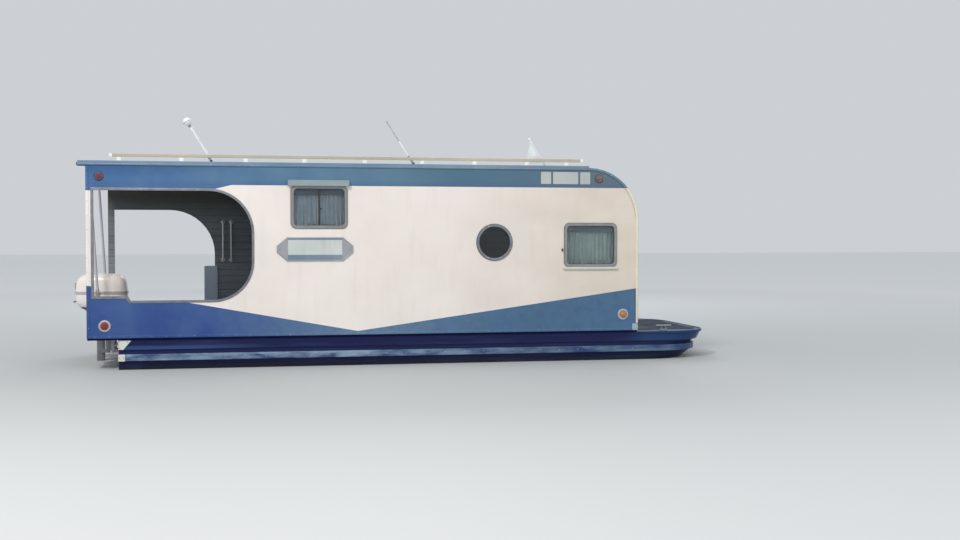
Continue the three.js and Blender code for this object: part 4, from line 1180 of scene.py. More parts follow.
def shade_header_outline(window, inset):
    """The top of the window's hole, down to the lower edge of the dark header of painted shade."""
    aft, _, fore, head = window
    level = head - WINDOW_BAR - SHADE_HEADER_DROP
    upper = [point for point in frame_outline(window, inset) if point[1] > level]
    return [(fore - inset, level)] + upper + [(aft + inset, level)]


OUTER_SEAL = [(-0.002, SEAT), (0.005, SEAT), (0.005, 0.004), (0.002, 0.007), (0.0006, 0.007),
              (0.0006, 0.0015)]
PANE_BEAD = [(-0.007, -0.0097), (0.0005, -0.0097), (0.0005, -0.001), (0.0006, 0.010),
             (-0.002, 0.0125), (-0.005, 0.010), (-0.007, 0.0)]
SILL = [(-0.0185, SEAT), (0.0185, SEAT), (0.0185, 0.010), (0.012, 0.022), (-0.008, 0.025),
        (-0.0185, 0.016)]
ROD_END = [(0.013, SEAT), (0.013, 0.003), (0.006, 0.005), (0.006, 0.012)]
TURN_BUTTON = [(0.013, SEAT), (0.013, 0.004), (0.009, 0.007), (0.005, 0.008)]

# %% Window fittings
for side in SIDES:
    outside = side_surface(side)
    for label, shade_band_cloth in (("long", TOP_SHADE_CLOTH), ("fore", TOP_SHADE_GREEN)):
        window = WINDOWS[label]
        aft, _, fore, head = window
        seals = Work(outside)
        seals.moulding(frame_outline(window, 0.0, WINDOW_CORNER + WINDOW_BAR / 2), OUTER_SEAL)
        seals.moulding(frame_outline(window, WINDOW_BAR), PANE_BEAD)
        place(f"{label}_window_seals_{side}", seals, BEAD_GREY)
        heads = spaced(frame_outline(window, WINDOW_BAR / 2, 0.05), 0.115, closed=True)
        place_screws(f"{label}_window_screws_{side}", outside, heads, FRAME_PROUD)
        # A dark header across the top of the window stands in for the shade there.
        header = Work(outside)
        header.plate(shade_header_outline(window, WINDOW_BAR + 0.001), -0.034, PANE_BACK - 0.002)
        place(f"{label}_window_shade_header_{side}", header, shade_band_cloth, edge=0.003)
        rod = Work(side_surface(side, WALL_INNER, -1))
        rod_z = head - ROD_DROP
        rod.tube([(aft - 0.012, rod_z, ROD_OFF), (fore + 0.012, rod_z, ROD_OFF)], 0.005)
        for x in (aft - 0.006, fore + 0.006):
            rod.turned(x, rod_z, ROD_END)
        place(f"{label}_window_rod_{side}", rod, ALUMINIUM)

    latch = Work(outside)
    latch_body = rounded(MULLION_X - 0.009, 1.86, MULLION_X + 0.009, 1.95, 0.004)
    latch.plate(latch_body, FRAME_PROUD + 0.0002, 0.019)
    latch.plate(rounded(MULLION_X - 0.006, 1.885, MULLION_X + 0.030, 1.90, 0.004), 0.0192, 0.026)
    place(f"long_window_latch_{side}", latch, GRIP_BLACK, edge=0.001)
    sill = Work(outside)
    aft, _, fore, _ = WINDOWS["fore"]
    sill.moulding([(aft - 0.012, SILL_Z), (fore + 0.012, SILL_Z)], SILL, closed=False)
    place(f"fore_window_sill_{side}", sill, SILL_GREEN, edge=0.0015)
    button = Work(outside)
    button.turned(1.747, 1.393, TURN_BUTTON, 16)
    button.plate(rounded(1.741, 1.372, 1.753, 1.414, 0.005), 0.0082, 0.013)
    place(f"fore_window_turn_button_{side}", button, GRIP_BLACK, edge=0.001)
print("window screws on the last frame:", len(heads))

# %% [markdown]
# ### Curtains
# A curtain is cut wider than its rod and gathered, so it hangs in pleats that open out towards the
# hem. Cloth simulation would find such pleats slowly and a little differently at each size. A sine
# wave along the rod, whose pleats drift a little by two slower waves, gives them exactly, and the
# length along the wave tells how wide the cloth was cut.

# %% Curtains
PLEAT = 0.009
PLEAT_LENGTH = 0.052
CURTAIN_STEPS = 150
CURTAIN_ROWS = 14
CURTAIN_SEED = 7


def pleated_curtain(node, window, side, finish, seed):
    """A gathered sheet that hangs from its rod inside a window, and the width that it is cut from."""
    wander = random.Random(seed)
    phases = [wander.uniform(0, 2 * math.pi) for _ in range(3)]
    aft, foot, fore, head = window
    low_x, high_x = aft + 0.012, fore - 0.012
    top, bottom = head - 0.0255, foot + 0.012
    inner = side_surface(side, WALL_INNER, -1)
    rows = []
    width = 0.0
    for row in range(CURTAIN_ROWS + 1):
        share = row / CURTAIN_ROWS
        line = []
        for step in range(CURTAIN_STEPS + 1):
            x = low_x + (high_x - low_x) * step / CURTAIN_STEPS
            turn = 2 * math.pi * x / PLEAT_LENGTH
            drift = (0.5 * math.sin(turn * 0.23 + phases[0] + share)
                     + 0.35 * math.sin(turn * 0.41 + phases[1]))
            wave = math.sin(turn + drift + 0.5 * share * math.sin(phases[2] + turn * 0.17))
            depth = PLEAT * (0.55 + 0.45 * share) * wave
            line.append(inner(x, top + (bottom - top) * share, ROD_OFF + depth))
        width += sum((b - a).length for a, b in zip(line, line[1:])) / (CURTAIN_ROWS + 1)
        rows.append(line)
    curtain = hang_cloth(f"pleated_{node}", rows, finish, node)
    return width


for number, side in enumerate(SIDES):
    for label, finish in (("long", CURTAIN_GREY), ("fore", CURTAIN_GREEN)):
        node = f"{label}_window_curtain_{side}"
        cut_width = pleated_curtain(node, WINDOWS[label], side, finish, CURTAIN_SEED + number)
        print(node, "is cut", round(cut_width, 3), "m wide")

# %% [markdown]
# ## Porthole, plaque and panels
# The porthole is a dark pane in a rubber ring, clamped by eight domed nuts. The pointed plaque has
# a raised rim, with a blue-grey bar along its foot and a thin one along its head. Beside the nose
# are the pale plates where the registration number would go. The plaque and plates stay blank.

# %% Porthole
PORTHOLE = (0.880, 1.490)
PORTHOLE_NUTS = 8
NUT_CIRCLE = 0.209
NUT_WASHER = [(0.009, FRAME_PROUD), (0.009, 0.015)]
DOMED_NUT = [(0.0065, 0.0151), (0.0065, 0.019), (0.005, 0.0215), (0.002, 0.0225)]
PORTHOLE_BEAD = [(-0.005, -0.0097), (0.010, -0.0097), (0.010, -0.001), (0.0018, -0.001),
                 (0.0018, 0.009), (-0.001, 0.012), (-0.005, 0.007)]
for side in SIDES:
    seals = Work(side_surface(side))
    seals.moulding(circle(*PORTHOLE, 0.224, 56), OUTER_SEAL)
    seals.moulding(circle(*PORTHOLE, 0.192, 56), PORTHOLE_BEAD)
    place(f"porthole_seals_{side}", seals, RUBBER)
    nuts = Work(side_surface(side))
    for step in range(PORTHOLE_NUTS):
        turn = math.radians((step + 0.5) * 360 / PORTHOLE_NUTS)
        a, u = PORTHOLE[0] + NUT_CIRCLE * math.cos(turn), PORTHOLE[1] + NUT_CIRCLE * math.sin(turn)
        nuts.turned(a, u, NUT_WASHER, 16)
        nuts.turned(a, u, DOMED_NUT, 6)
    place(f"porthole_nuts_{side}", nuts, STAINLESS)
print("porthole nuts per side:", PORTHOLE_NUTS)

# %% Plaque and registration plates
PLAQUE_FACE = 0.012
PLAQUE_Z = 1.411
PLAQUE_RIM = [(-1.763, 1.374), (-1.645, 1.276), (-0.991, 1.276), (-0.873, 1.374), (-0.873, 1.448),
              (-0.991, 1.546), (-1.645, 1.546), (-1.763, 1.448)]
RIM_SECTION = [(-0.006, PLAQUE_FACE), (0.006, PLAQUE_FACE), (0.006, PLAQUE_FACE + 0.002),
               (0.0, PLAQUE_FACE + 0.005), (-0.006, PLAQUE_FACE + 0.002)]
REGISTRATION_PLATES = ((1.470, 1.600), (1.625, 1.950), (1.975, 2.105))
for side in SIDES:
    rim = Work(side_surface(side))
    rim.moulding(PLAQUE_RIM, RIM_SECTION)
    place(f"plaque_rim_{side}", rim, RIM_GREY, edge=0.0008)
    bars = Work(side_surface(side))
    for foot, head, proud in ((1.284, 1.342, 0.004), (1.522, 1.538, 0.003)):
        bars.plate(box_outline(-1.640, foot, -0.996, head), PLAQUE_FACE + 0.0002, PLAQUE_FACE + proud)
    place(f"plaque_bars_{side}", bars, PLAQUE_EDGE, edge=0.0008)
    plates = Work(side_surface(side))
    rivets = Work(side_surface(side))
    for x0, x1 in REGISTRATION_PLATES:
        plates.plate(rounded(x0, 2.215, x1, 2.365, 0.010), SEAT, 0.0022)
        for a in (x0 + 0.012, x1 - 0.012):
            for u in (2.227, 2.353):
                rivets.screw(a, u, 0.0020, 0.0035, 0.0018)
    for a in (-1.735, -0.901):
        rivets.screw(a, PLAQUE_Z, PLAQUE_FACE, 0.006, 0.003)
    place(f"registration_plates_{side}", plates, PANEL_PALE, edge=0.0004)
    place(f"plate_rivets_{side}", rivets, STAINLESS)
print("plates per side:", len(REGISTRATION_PLATES))

# %% [markdown]
# ## Lamps
# The lower lamps sit in pale moulded bezels and the upper ones on a thin dark gasket. Every lens
# has a retaining band, which presses it on its seal.

# %% Lamp bezels
LAMP_PLACES = {"aft_upper": (-3.80, 2.26), "aft_lower": (-3.75, 0.52),
               "fore_upper": (2.22, 2.285), "fore_lower": (2.54, 0.58)}
BEZEL = [(-0.0055, SEAT), (0.016, SEAT), (0.015, 0.006), (0.009, 0.0115), (0.0, 0.013),
         (-0.0055, 0.0115)]
GASKET = [(0.0005, SEAT), (0.006, SEAT), (0.006, 0.003), (0.0005, 0.005)]
BAND = [(-0.001, 0.0085), (0.0012, 0.0085), (0.0012, 0.0125), (-0.001, 0.0125)]
for side in SIDES:
    for height, radius, section, finish in (("lower", 0.0535, BEZEL, BEZEL_PALE),
                                            ("upper", 0.0475, GASKET, RUBBER)):
        rings = Work(side_surface(side))
        for end in ("aft", "fore"):
            rings.moulding(circle(*LAMP_PLACES[f"{end}_{height}"], radius, 36), section)
        place(f"lamp_rings_{height}_{side}", rings, finish)
    bands = Work(side_surface(side))
    for a, u in LAMP_PLACES.values():
        bands.moulding(circle(a, u, 0.0375, 32), BAND)
    place(f"lamp_bands_{side}", bands, STAINLESS)
print("lamps per side:", len(LAMP_PLACES))

# %% [markdown]
# ## Roof rails, staffs and flag
# The grab rails on the roof stand on cast feet, which show as a row of pale knobs. The raked light
# staff and the aerial fold down at a pin, and the flagstaff at the bow carries a small pennant on a
# halyard. What belongs to a folding staff rides on that staff's body.

# %% Roof rail feet and end caps
RAIL_FEET = (-3.575, -2.87, -2.13, -1.44, -0.72, -0.02, 0.63, 1.29, 1.80)
RAIL_MIDDLE = 1.198
RAIL_MIDDLE_Z = 2.5075
# Half length, half width and height above the roof of a foot's sections, from its base up.
FOOT_SECTIONS = ((0.048, 0.0225, SEAT), (0.048, 0.0225, 0.010), (0.027, 0.0195, 0.022),
                 (0.023, 0.0185, 0.064))
rail_low, rail_high = corners("roof_rail_port")
for side, sign in SIDES.items():
    castings = Work()
    screws = Work(deck_surface(EAVES))
    for x in RAIL_FEET:
        middle = sign * RAIL_MIDDLE
        castings.skin([[(x + a * half_a, middle + b * half_b, EAVES + rise) for a, b in corner_signs]
                       for half_a, half_b, rise in FOOT_SECTIONS])
        for a in (x - 0.038, x + 0.038):
            screws.screw(a, middle, 0.0098)
    for ends in ((rail_low.x - 0.006, rail_low.x + 0.030), (rail_high.x - 0.030, rail_high.x + 0.006)):
        castings.skin([[(x, sign * (RAIL_MIDDLE + b * 0.0175), RAIL_MIDDLE_Z + c * 0.0195)
                        for b, c in corner_signs] for x in ends])
    place(f"roof_rail_castings_{side}", castings, FITTING_WHITE, edge=0.003)
    place(f"roof_rail_screws_{side}", screws, STAINLESS)
print("rail feet per side:", len(RAIL_FEET))

# %% Folding staffs
STAFF_Y = -1.13
PIVOT_Z = 2.454
LIGHT_STAFF_X = -2.53
ANTENNA_X = -0.118


def raked_line(x, z, rake):
    """Distance up a staff that leans aft to a place, from its foot."""
    way = Vector((-math.sin(math.radians(rake)), 0, math.cos(math.radians(rake))))
    return lambda distance: Vector((x, STAFF_Y, z)) + way * distance


staff = raked_line(LIGHT_STAFF_X, PIVOT_Z, 31)
fittings = Work()
fittings.bar(staff(0.015), staff(0.070),
             [(0, 0.0145), (0.1, 0.016), (0.7, 0.016), (0.85, 0.013), (1, 0.0125)])
fittings.bar(staff(0.462), staff(0.494), [(0, 0.0125), (0.25, 0.017), (0.6, 0.019), (1, 0.026)])
fittings.bar(staff(0.533), staff(0.540), [(0, 0.0522), (0.2, 0.0536), (0.8, 0.0536), (1, 0.0522)], 40)
place("light_staff_fittings", fittings, ALUMINIUM, "light_staff")
clips = Work()
for distance in (0.16, 0.30, 0.42):
    clips.bar(staff(distance), staff(distance + 0.012),
              [(0, 0.0118), (0, 0.0135), (1, 0.0135), (1, 0.0118)])
lead_way = [staff(d) + Vector((0.0125, 0.0, 0.0075)) for d in (0.07, 0.16, 0.30, 0.42, 0.462)]
clips.tube(lead_way, 0.003, 8)
place("light_staff_lead", clips, FITTING_WHITE, "light_staff")

aerial = raked_line(ANTENNA_X, PIVOT_Z, 33)
spring = Work()
spring.bar(aerial(0.015), aerial(0.045), [(0, 0.0145), (0.2, 0.0155), (0.8, 0.0155), (1, 0.010)])
spring_coils = [(step / 20, 0.0115 if step % 2 else 0.0090) for step in range(21)]
spring.bar(aerial(0.045), aerial(0.110), spring_coils)
place("antenna_spring", spring, STAINLESS, "antenna")
sleeve = Work()
sleeve.bar(aerial(0.110), aerial(0.320), [(0, 0.0095), (0.05, 0.0105), (0.9, 0.0085), (1, 0.0066)])
place("antenna_sleeve", sleeve, FITTING_WHITE, "antenna")
base_heads = [(x + a, STAFF_Y + b) for x in (LIGHT_STAFF_X, ANTENNA_X)
              for a in (-0.024, 0.024) for b in (-0.019, 0.019)]
place_screws("staff_base_screws", deck_surface(EAVES + 0.008), base_heads, 0.0, 0.004)
print("staff top:", [round(value, 3) for value in staff(0.5)])

# %% Flagstaff and pennant
FLAG_X = 1.558
FLAG_FOOT_Z = EAVES + SEAT + 0.006
FLAG_RAKE = 32
pole = raked_line(FLAG_X, FLAG_FOOT_Z, FLAG_RAKE)
gear = Work()
gear.bar(pole(0.392), pole(0.424),
         [(0, 0.010), (0.25, 0.0155), (0.5, 0.0175), (0.75, 0.0155), (0.95, 0.008), (1, 0.003)])
gear.bar(pole(0.012), pole(0.045), [(0, 0.016), (0.4, 0.0145), (1, 0.0105)])
for side_step in (-1, 1):
    horn = [pole(0.055) + Vector((0, y * side_step, z)) for y, z in ((0.010, 0), (0.026, 0.004))]
    gear.bar(*horn, [(0, 0.004), (0.7, 0.0035), (1, 0.002)], 8)
place("flagstaff_fittings", gear, FITTING_WHITE)
foot_heads = [(FLAG_X + 0.0205 * math.cos(turn), STAFF_Y + 0.0205 * math.sin(turn))
              for turn in (math.radians(60 + 120 * step) for step in range(3))]
place_screws("flagstaff_foot_screws", deck_surface(EAVES + SEAT + 0.008), foot_heads, 0.0, 0.0035)
halyard = Work()
aft_of_pole = Vector((-math.cos(math.radians(FLAG_RAKE)), 0, -math.sin(math.radians(FLAG_RAKE))))
halyard.tube([pole(distance) + aft_of_pole * 0.0105 for distance in (0.055, 0.20, 0.392)], 0.0011, 6)
place("flag_halyard", halyard, FITTING_WHITE)

PENNANT_TOP = 0.385
PENNANT_FOOT = 0.070
PENNANT_FOLD = 0.0028
PENNANT_ROWS = 26
PENNANT_STEPS = 20
luff = [pole(distance) + aft_of_pole * 0.0125 for distance in (PENNANT_TOP, PENNANT_FOOT)]
fly = [Vector((luff[0].x - 0.030, STAFF_Y, 2.520)), Vector((luff[0].x + 0.020, STAFF_Y, 2.472))]


def pennant_point(down, out):
    """A place on the pennant: down its luff and out towards the drooping fly, with soft folds."""
    place = luff[0].lerp(luff[1], down).lerp(fly[0].lerp(fly[1], down), out)
    fold = math.sin(9.0 * out + 5.0 * down) * 0.6 + math.sin(21.0 * out - 4.0 * down) * 0.4
    place.y += PENNANT_FOLD * fold * min(1.0, 3 * out)
    return place


pennant_rows = [[pennant_point(row / PENNANT_ROWS, step / PENNANT_STEPS)
                 for step in range(PENNANT_STEPS + 1)] for row in range(PENNANT_ROWS + 1)]
pennant_cloth = hang_cloth("pennant_cloth", pennant_rows, PENNANT_CLOTH, "pennant")
pennant_area = sum(face.area for face in pennant_cloth.data.polygons)
print("pennant area:", round(pennant_area, 4), "m2, luff", round((luff[0] - luff[1]).length, 3), "m")

# %% [markdown]
# ## Doors and windscreens
# Both doors are flat sheets with planted mouldings and lever handles, and the aft one has a kick
# plate towards the porch. Everything on a door rides on the door's body, so it swings with it. The
# front panes sit in wide rubber, as windscreens do, and each windscreen has a wiper.

# %% Door fittings
DOOR_MOULDING = [(-0.010, SEAT), (0.010, SEAT), (0.009, 0.005), (0.001, 0.009), (-0.010, 0.003)]
HANDLE_ROSETTE = [(0.026, SEAT), (0.026, 0.005), (0.022, 0.008), (0.011, 0.010), (0.010, 0.034)]
KEYHOLE_COVER = [(0.014, SEAT), (0.014, 0.004), (0.005, 0.006)]
# The lever's way from the handle's middle: across, up and off the door.
LEVER = ((0.0, 0.0, 0.030), (0.004, 0.0, 0.040), (0.05, 0.0, 0.043), (0.105, -0.004, 0.040))
# Low and high corners of the panels, across and up.
AFT_DOOR_PANELS = ((-0.25, 0.66, 0.25, 1.18), (-0.25, 1.36, 0.25, 2.14))
FRONT_DOOR_PANELS = ((-0.21, 0.56, 0.21, 1.04),)


def furnish_door(door, face, mouldings, panels, handle_name, across, up):
    """Mouldings round the panels of a door's face, and a lever handle over a keyhole cover."""
    planted = Work(face)
    for panel in panels:
        planted.moulding(box_outline(*panel), DOOR_MOULDING)
    place(f"{door}_{mouldings}", planted, DOOR, door)
    handle = Work(face)
    handle.turned(across, up, HANDLE_ROSETTE, 20)
    handle.tube([(across + a, up + u, off) for a, u, off in LEVER], 0.0075, 12)
    handle.turned(across, up - 0.075, KEYHOLE_COVER, 16)
    place(f"{door}_{handle_name}", handle, STAINLESS, door)


porch_face = cross_surface(-2.035, -1)
cabin_face = cross_surface(-2.001, 1)
for label, face in (("porch", porch_face), ("cabin", cabin_face)):
    furnish_door("aft_door", face, f"mouldings_{label}", AFT_DOOR_PANELS,
                 f"handle_{label}", -0.292, 1.275)
kick = Work(porch_face)
kick.plate(rounded(-0.30, 0.475, 0.30, 0.620, 0.006), SEAT, 0.0018)
for a in (-0.285, -0.095, 0.095, 0.285):
    for u in (0.490, 0.605):
        kick.screw(a, u, 0.0016, 0.004, 0.002)
place("aft_door_kick_plate", kick, ALUMINIUM, "aft_door")
front_face = cross_surface(CABIN_FRONT, 1)
furnish_door("front_door", front_face, "moulding", FRONT_DOOR_PANELS, "handle", -0.262, 1.085)
print("panels on the aft door:", len(AFT_DOOR_PANELS), "and on the front door:", len(FRONT_DOOR_PANELS))

# %% Front panes
PANE_RUBBER = [(-0.007, -0.0097), (-0.0005, -0.0097), (-0.0005, SEAT), (0.013, SEAT),
               (0.012, 0.005), (0.002, 0.008), (-0.007, 0.001)]
WIPER_PIVOT = [(0.018, SEAT), (0.018, 0.010), (0.012, 0.022), (0.005, 0.024)]
# Ways of the wiper's arm and blade from its pivot's line: across, height and distance off.
WIPER_ARM = ((0.0, 1.115, 0.018), (0.10, 1.170, 0.020), (0.19, 1.225, 0.014))
WIPER_BLADE = ((0.02, 1.245, 0.0105), (0.19, 1.225, 0.0115), (0.30, 1.215, 0.0105))
HEAD_STRIP = [(-0.014, SEAT), (0.014, SEAT), (0.014, 0.006), (0.006, 0.010), (-0.014, 0.008)]
door_rubber = Work(front_face)
door_rubber.moulding(rounded(-0.190, 1.130, 0.190, 1.630, 0.040), PANE_RUBBER)
place("front_door_pane_rubber", door_rubber, RUBBER, "front_door")
for side, sign in SIDES.items():
    near, far = sorted((sign * 0.42, sign * 1.08))
    pane_rubber = Work(front_face)
    pane_rubber.moulding(rounded(near, 1.150, far, 1.650, 0.050), PANE_RUBBER)
    place(f"windscreen_rubber_{side}", pane_rubber, RUBBER)
    wiper = Work(front_face)
    pivot = sign * 0.75
    wiper.turned(pivot, WIPER_ARM[0][1], WIPER_PIVOT, 16)
    for way, radius in ((WIPER_ARM, 0.0035), (WIPER_BLADE, 0.0042)):
        wiper.tube([(pivot + a, u, off) for a, u, off in way], radius, 8)
    place(f"wiper_{side}", wiper, GRIP_BLACK)
head_strip = Work(front_face)
head_strip.moulding([(1.18, 1.762), (-1.18, 1.762)], HEAD_STRIP, closed=False)
place("front_wall_head_strip", head_strip, CABIN)
print("panes in rubber at the front:", 1 + len(SIDES))

# %% [markdown]
# ## The stern
# The coaming's edge is capped with varnished mahogany, and the roof struts stand on it in turned
# flanges. Pale angle plates protect the transom's corners, which take the first knock when the
# boat comes alongside.

# %% Coaming caps, strut flanges and corner plates
COAMING_HEAD = 0.85
STRUT_FOOT_X = -3.905
STRUT_HEAD_X = -4.0
STRUT_Y = 0.48
FLANGE = [(0, 0.034), (0.10, 0.034), (0.16, 0.023), (0.9, 0.0205), (1, 0.0165)]
TRANSOM_X = -3.6
HULL_SIDE = 1.19
RAIL_FACE = 1.21
UPPER_PLATE = [(-3.598, 0.238), (-3.545, 0.238), (-3.455, 0.346), (-3.598, 0.346)]
strut_top = corners("roof_strut_port")[1].z
for side, sign in SIDES.items():
    cap = Work(deck_surface(COAMING_HEAD))
    low, high = sorted((sign * 0.440, sign * (WALL_INNER - 0.002)))
    cap.plate(rounded(-3.945, low, -3.865, high, 0.012), SEAT, 0.014)
    place(f"coaming_cap_{side}", cap, WOOD, edge=0.003)
    foot = Vector((STRUT_FOOT_X, sign * STRUT_Y, COAMING_HEAD))
    head = Vector((STRUT_HEAD_X, sign * STRUT_Y, strut_top))
    way = (head - foot).normalized()
    flanges = Work()
    flanges.bar(foot + way * 0.0142, foot + way * 0.075, FLANGE, 24)
    flanges.bar(head - way * 0.004, head - way * 0.070, FLANGE, 24)
    place(f"strut_flanges_{side}", flanges, ALUMINIUM)
    plates = Work(side_surface(side, HULL_SIDE))
    plates.plate(UPPER_PLATE, SEAT, 0.004)
    plates.surface = cross_surface(TRANSOM_X, -1)
    low, high = sorted((sign * 1.090, sign * 1.192))
    plates.plate(box_outline(low, 0.238, high, 0.346), SEAT, 0.004)
    plates.surface = side_surface(side, RAIL_FACE)
    plates.plate(rounded(-3.602, 0.104, -3.525, 0.186, 0.008), SEAT, 0.006)
    place(f"transom_corner_plates_{side}", plates, PLATE_PALE, edge=0.001)
    bolts = Work(side_surface(side, HULL_SIDE))
    for a, u in ((-3.585, 0.255), (-3.585, 0.330), (-3.50, 0.330)):
        bolts.screw(a, u, 0.0038, 0.006, 0.004)
    bolts.surface = side_surface(side, RAIL_FACE)
    for a in (-3.59, -3.54):
        bolts.screw(a, 0.145, 0.0058, 0.006, 0.004)
    place(f"transom_corner_bolts_{side}", bolts, STAINLESS)
print("strut top:", round(strut_top, 4))

# %% [markdown]
# ## Hull trim
# Screws run along the rub rail, a rounded gunwale moulding follows the foredeck's edge and its two
# big corners, and the cleats are bolted down. Tread strips cross the foredeck's panel, and a
# forged ring sits on the middle of the bow.

# %% Rub rail screws, gunwale, cleat bolts and bow ring
DECK_Z = 0.35
RAIL_LINE = [(-3.48, 0.145), (3.04, 0.145)]
GUNWALE = [(-0.020, SEAT), (0.0006, SEAT), (0.0006, -0.024), (0.005, -0.024), (0.0075, -0.018),
           (0.0075, 0.001), (0.002, 0.0065), (-0.018, 0.0065)]
GUNWALE_AFT = 2.752
BOW_RADIUS = 0.6
BOW_ARC_X = 3.19
TREAD_STEP = 0.105
BOW_RING_Z = 0.292
# Half of the ring's way, across and off the bow; the other half mirrors it.
BOW_RING = ((-0.016, -0.002), (-0.016, 0.012), (-0.011, 0.024))
for side in SIDES:
    place_screws(f"rub_rail_screws_{side}", side_surface(side, RAIL_FACE), spaced(RAIL_LINE, 0.24),
                 -0.0004, 0.006, 0.003)

corner_y = HULL_SIDE - BOW_RADIUS
gunwale_path = ([(GUNWALE_AFT, -HULL_SIDE)] + arc(BOW_ARC_X, -corner_y, BOW_RADIUS, -90, 0, 16)
                + arc(BOW_ARC_X, corner_y, BOW_RADIUS, 0, 90, 16) + [(GUNWALE_AFT, HULL_SIDE)])
gunwale = Work(deck_surface(DECK_Z))
gunwale.moulding(gunwale_path, GUNWALE, closed=False)
place("gunwale_moulding", gunwale, HULL)
gunwale_heads = spaced(gunwale_path, 0.16, -0.009)
screws = Work(deck_surface(DECK_Z))
for a, u in gunwale_heads:
    screws.screw(a, u, 0.0062)
for sign in SIDES.values():
    for a in (3.143, 3.217):
        for b in (sign * 0.94 - 0.013, sign * 0.94 + 0.013):
            screws.screw(a, b, 0.0118, 0.0055, 0.004)
place("deck_screws", screws, STAINLESS)
tread = Work(deck_surface(corners("foredeck_panel")[1].z))
for step in range(-7, 8):
    middle = TREAD_STEP * step
    tread.plate(rounded(2.86, middle - 0.022, 3.08, middle + 0.022, 0.008), SEAT, 0.0022)
place("foredeck_tread_strips", tread, GRIP_BLACK)

bow_ring = Work(cross_surface(3.758, 1))
bow_ring.plate(rounded(-0.030, 0.262, 0.030, 0.322, 0.010), -0.006, 0.004)
ring_way = [*BOW_RING, (0.0, 0.029), *((-across, off) for across, off in reversed(BOW_RING))]
bow_ring.tube([(across, BOW_RING_Z, off) for across, off in ring_way], 0.0055)
place("bow_ring", bow_ring, STAINLESS)
print("gunwale screws:", len(gunwale_heads))

# %% [markdown]
# ## The outboard motor
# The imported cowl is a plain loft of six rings, and a real cowl is a moulded shell with soft edges
# that sits on a pan with a rubber seam. The shell below follows the same outline with more rings
# towards its foot and crown, and a subdivision surface smooths it. The seam, latch, vents and
# handle ride on the motor's body, so they steer and tilt with it.

# %% Cowl shell
# Sections from the bottom up: height, aft end, fore end, half width.
PAN_RINGS = [(0.6205, -4.072, -3.700, 0.126), (0.628, -4.088, -3.684, 0.137),
             (0.664, -4.142, -3.648, 0.160), (0.670, -4.146, -3.646, 0.162)]
SEAM_RINGS = [(0.664, -4.150, -3.640, 0.163), (0.667, -4.158, -3.634, 0.167),
              (0.677, -4.158, -3.634, 0.167), (0.680, -4.150, -3.640, 0.163)]
SHELL_RINGS = [(0.676, -4.168, -3.628, 0.172), (0.682, -4.178, -3.620, 0.178),
               (0.720, -4.206, -3.602, 0.195), (0.765, -4.220, -3.592, 0.205),
               (0.880, -4.220, -3.594, 0.204), (0.980, -4.214, -3.602, 0.200),
               (1.040, -4.190, -3.625, 0.186), (1.078, -4.140, -3.665, 0.158),
               (1.094, -4.070, -3.730, 0.120), (1.098, -4.000, -3.800, 0.070)]
BAND_RINGS = [(z, -4.2235, -3.5885, 0.2085) for z in (0.842, 0.846, 0.874, 0.878)]
COWL_SIDES = 56
COWL_POWER = 0.6


def cowl_ring(z, aft, fore, half_width):
    """A rounded rectangle: a circle whose sine and cosine are raised to a power."""
    ring = []
    for angle in ring_angles(COWL_SIDES):
        c, s = (math.copysign(abs(value) ** COWL_POWER, value)
                for value in (math.cos(angle), math.sin(angle)))
        ring.append((0.5 * (fore + aft) + 0.5 * (fore - aft) * c, half_width * s, z))
    return ring


for name, rings, finish, edge, crisp in (("motor_cowl_shell", SHELL_RINGS, COWL_WHITE, 0.0, 60),
                                         ("motor_pan", PAN_RINGS, MOTOR_GREY, 0.0, 60),
                                         ("motor_seam", SEAM_RINGS, RUBBER, 0.0, 60),
                                         ("motor_cowl_band", BAND_RINGS, COWL_BAND, 0.001, 35)):
    lofted = Work()
    lofted.skin([cowl_ring(*ring) for ring in rings])
    place(name, lofted, finish, "motor", edge, crisp)
shell = bpy.data.objects["motor_cowl_shell"]
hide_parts("motor_cowl")
smooth = shell.modifiers.new("smooth", "SUBSURF")
smooth.levels = 1
smooth.render_levels = 1
print("cowl shell rings:", len(SHELL_RINGS))

# %% Cowl fittings
latch = Work(cross_surface(-3.594, 1))
latch.plate(rounded(-0.030, 0.690, 0.030, 0.765, 0.008), -0.012, 0.004)
latch.tube([(-0.020, 0.750, 0.004), (-0.020, 0.742, 0.016), (0.020, 0.742, 0.016),
            (0.020, 0.750, 0.004)], 0.004, 8)
place("motor_latch", latch, STAINLESS, "motor", edge=0.001)
aft_face = cross_surface(-4.2205, -1)
vents = Work(aft_face)
for step in range(5):
    vents.plate(rounded(-0.075, 0.905 + 0.016 * step, 0.075, 0.913 + 0.016 * step, 0.003), -0.006, 0.0012)
place("motor_vents", vents, GRIP_BLACK, "motor")
handle = Work(aft_face)
handle.tube(grip_points((-0.055, 0.745), (0.055, 0.745), 0.020, 0.012), 0.007, 12)
handle.surface = free_space
for sign in SIDES.values():
    handle.bar((-3.895, sign * 0.012, 0.335), (-3.895, sign * 0.034, 0.335),
               [(0, 0.018), (0.8, 0.018), (1, 0.014)], 6)
place("motor_handle_and_bolts", handle, GRIP_BLACK, "motor")
# The water intake's bars on both sides of the leg: X and distance off the middle.
INTAKE_BAR = ((-3.955, 0.020), (-3.895, 0.020), (-3.900, 0.0305), (-3.950, 0.0305))
intake = Work()
for sign in SIDES.values():
    for step in range(4):
        z = -0.300 + 0.010 * step
        intake.skin([[(x, sign * y, z + half) for x, y in INTAKE_BAR] for half in (-0.0025, 0.0025)])
place("motor_intake", intake, GRIP_BLACK, "motor")
anode = Work(deck_surface(-0.193))
anode.plate(rounded(-4.145, -0.020, -4.085, 0.020, 0.010), -0.016, -SEAT)
place("motor_anode", anode, BRONZE, "motor", edge=0.003)

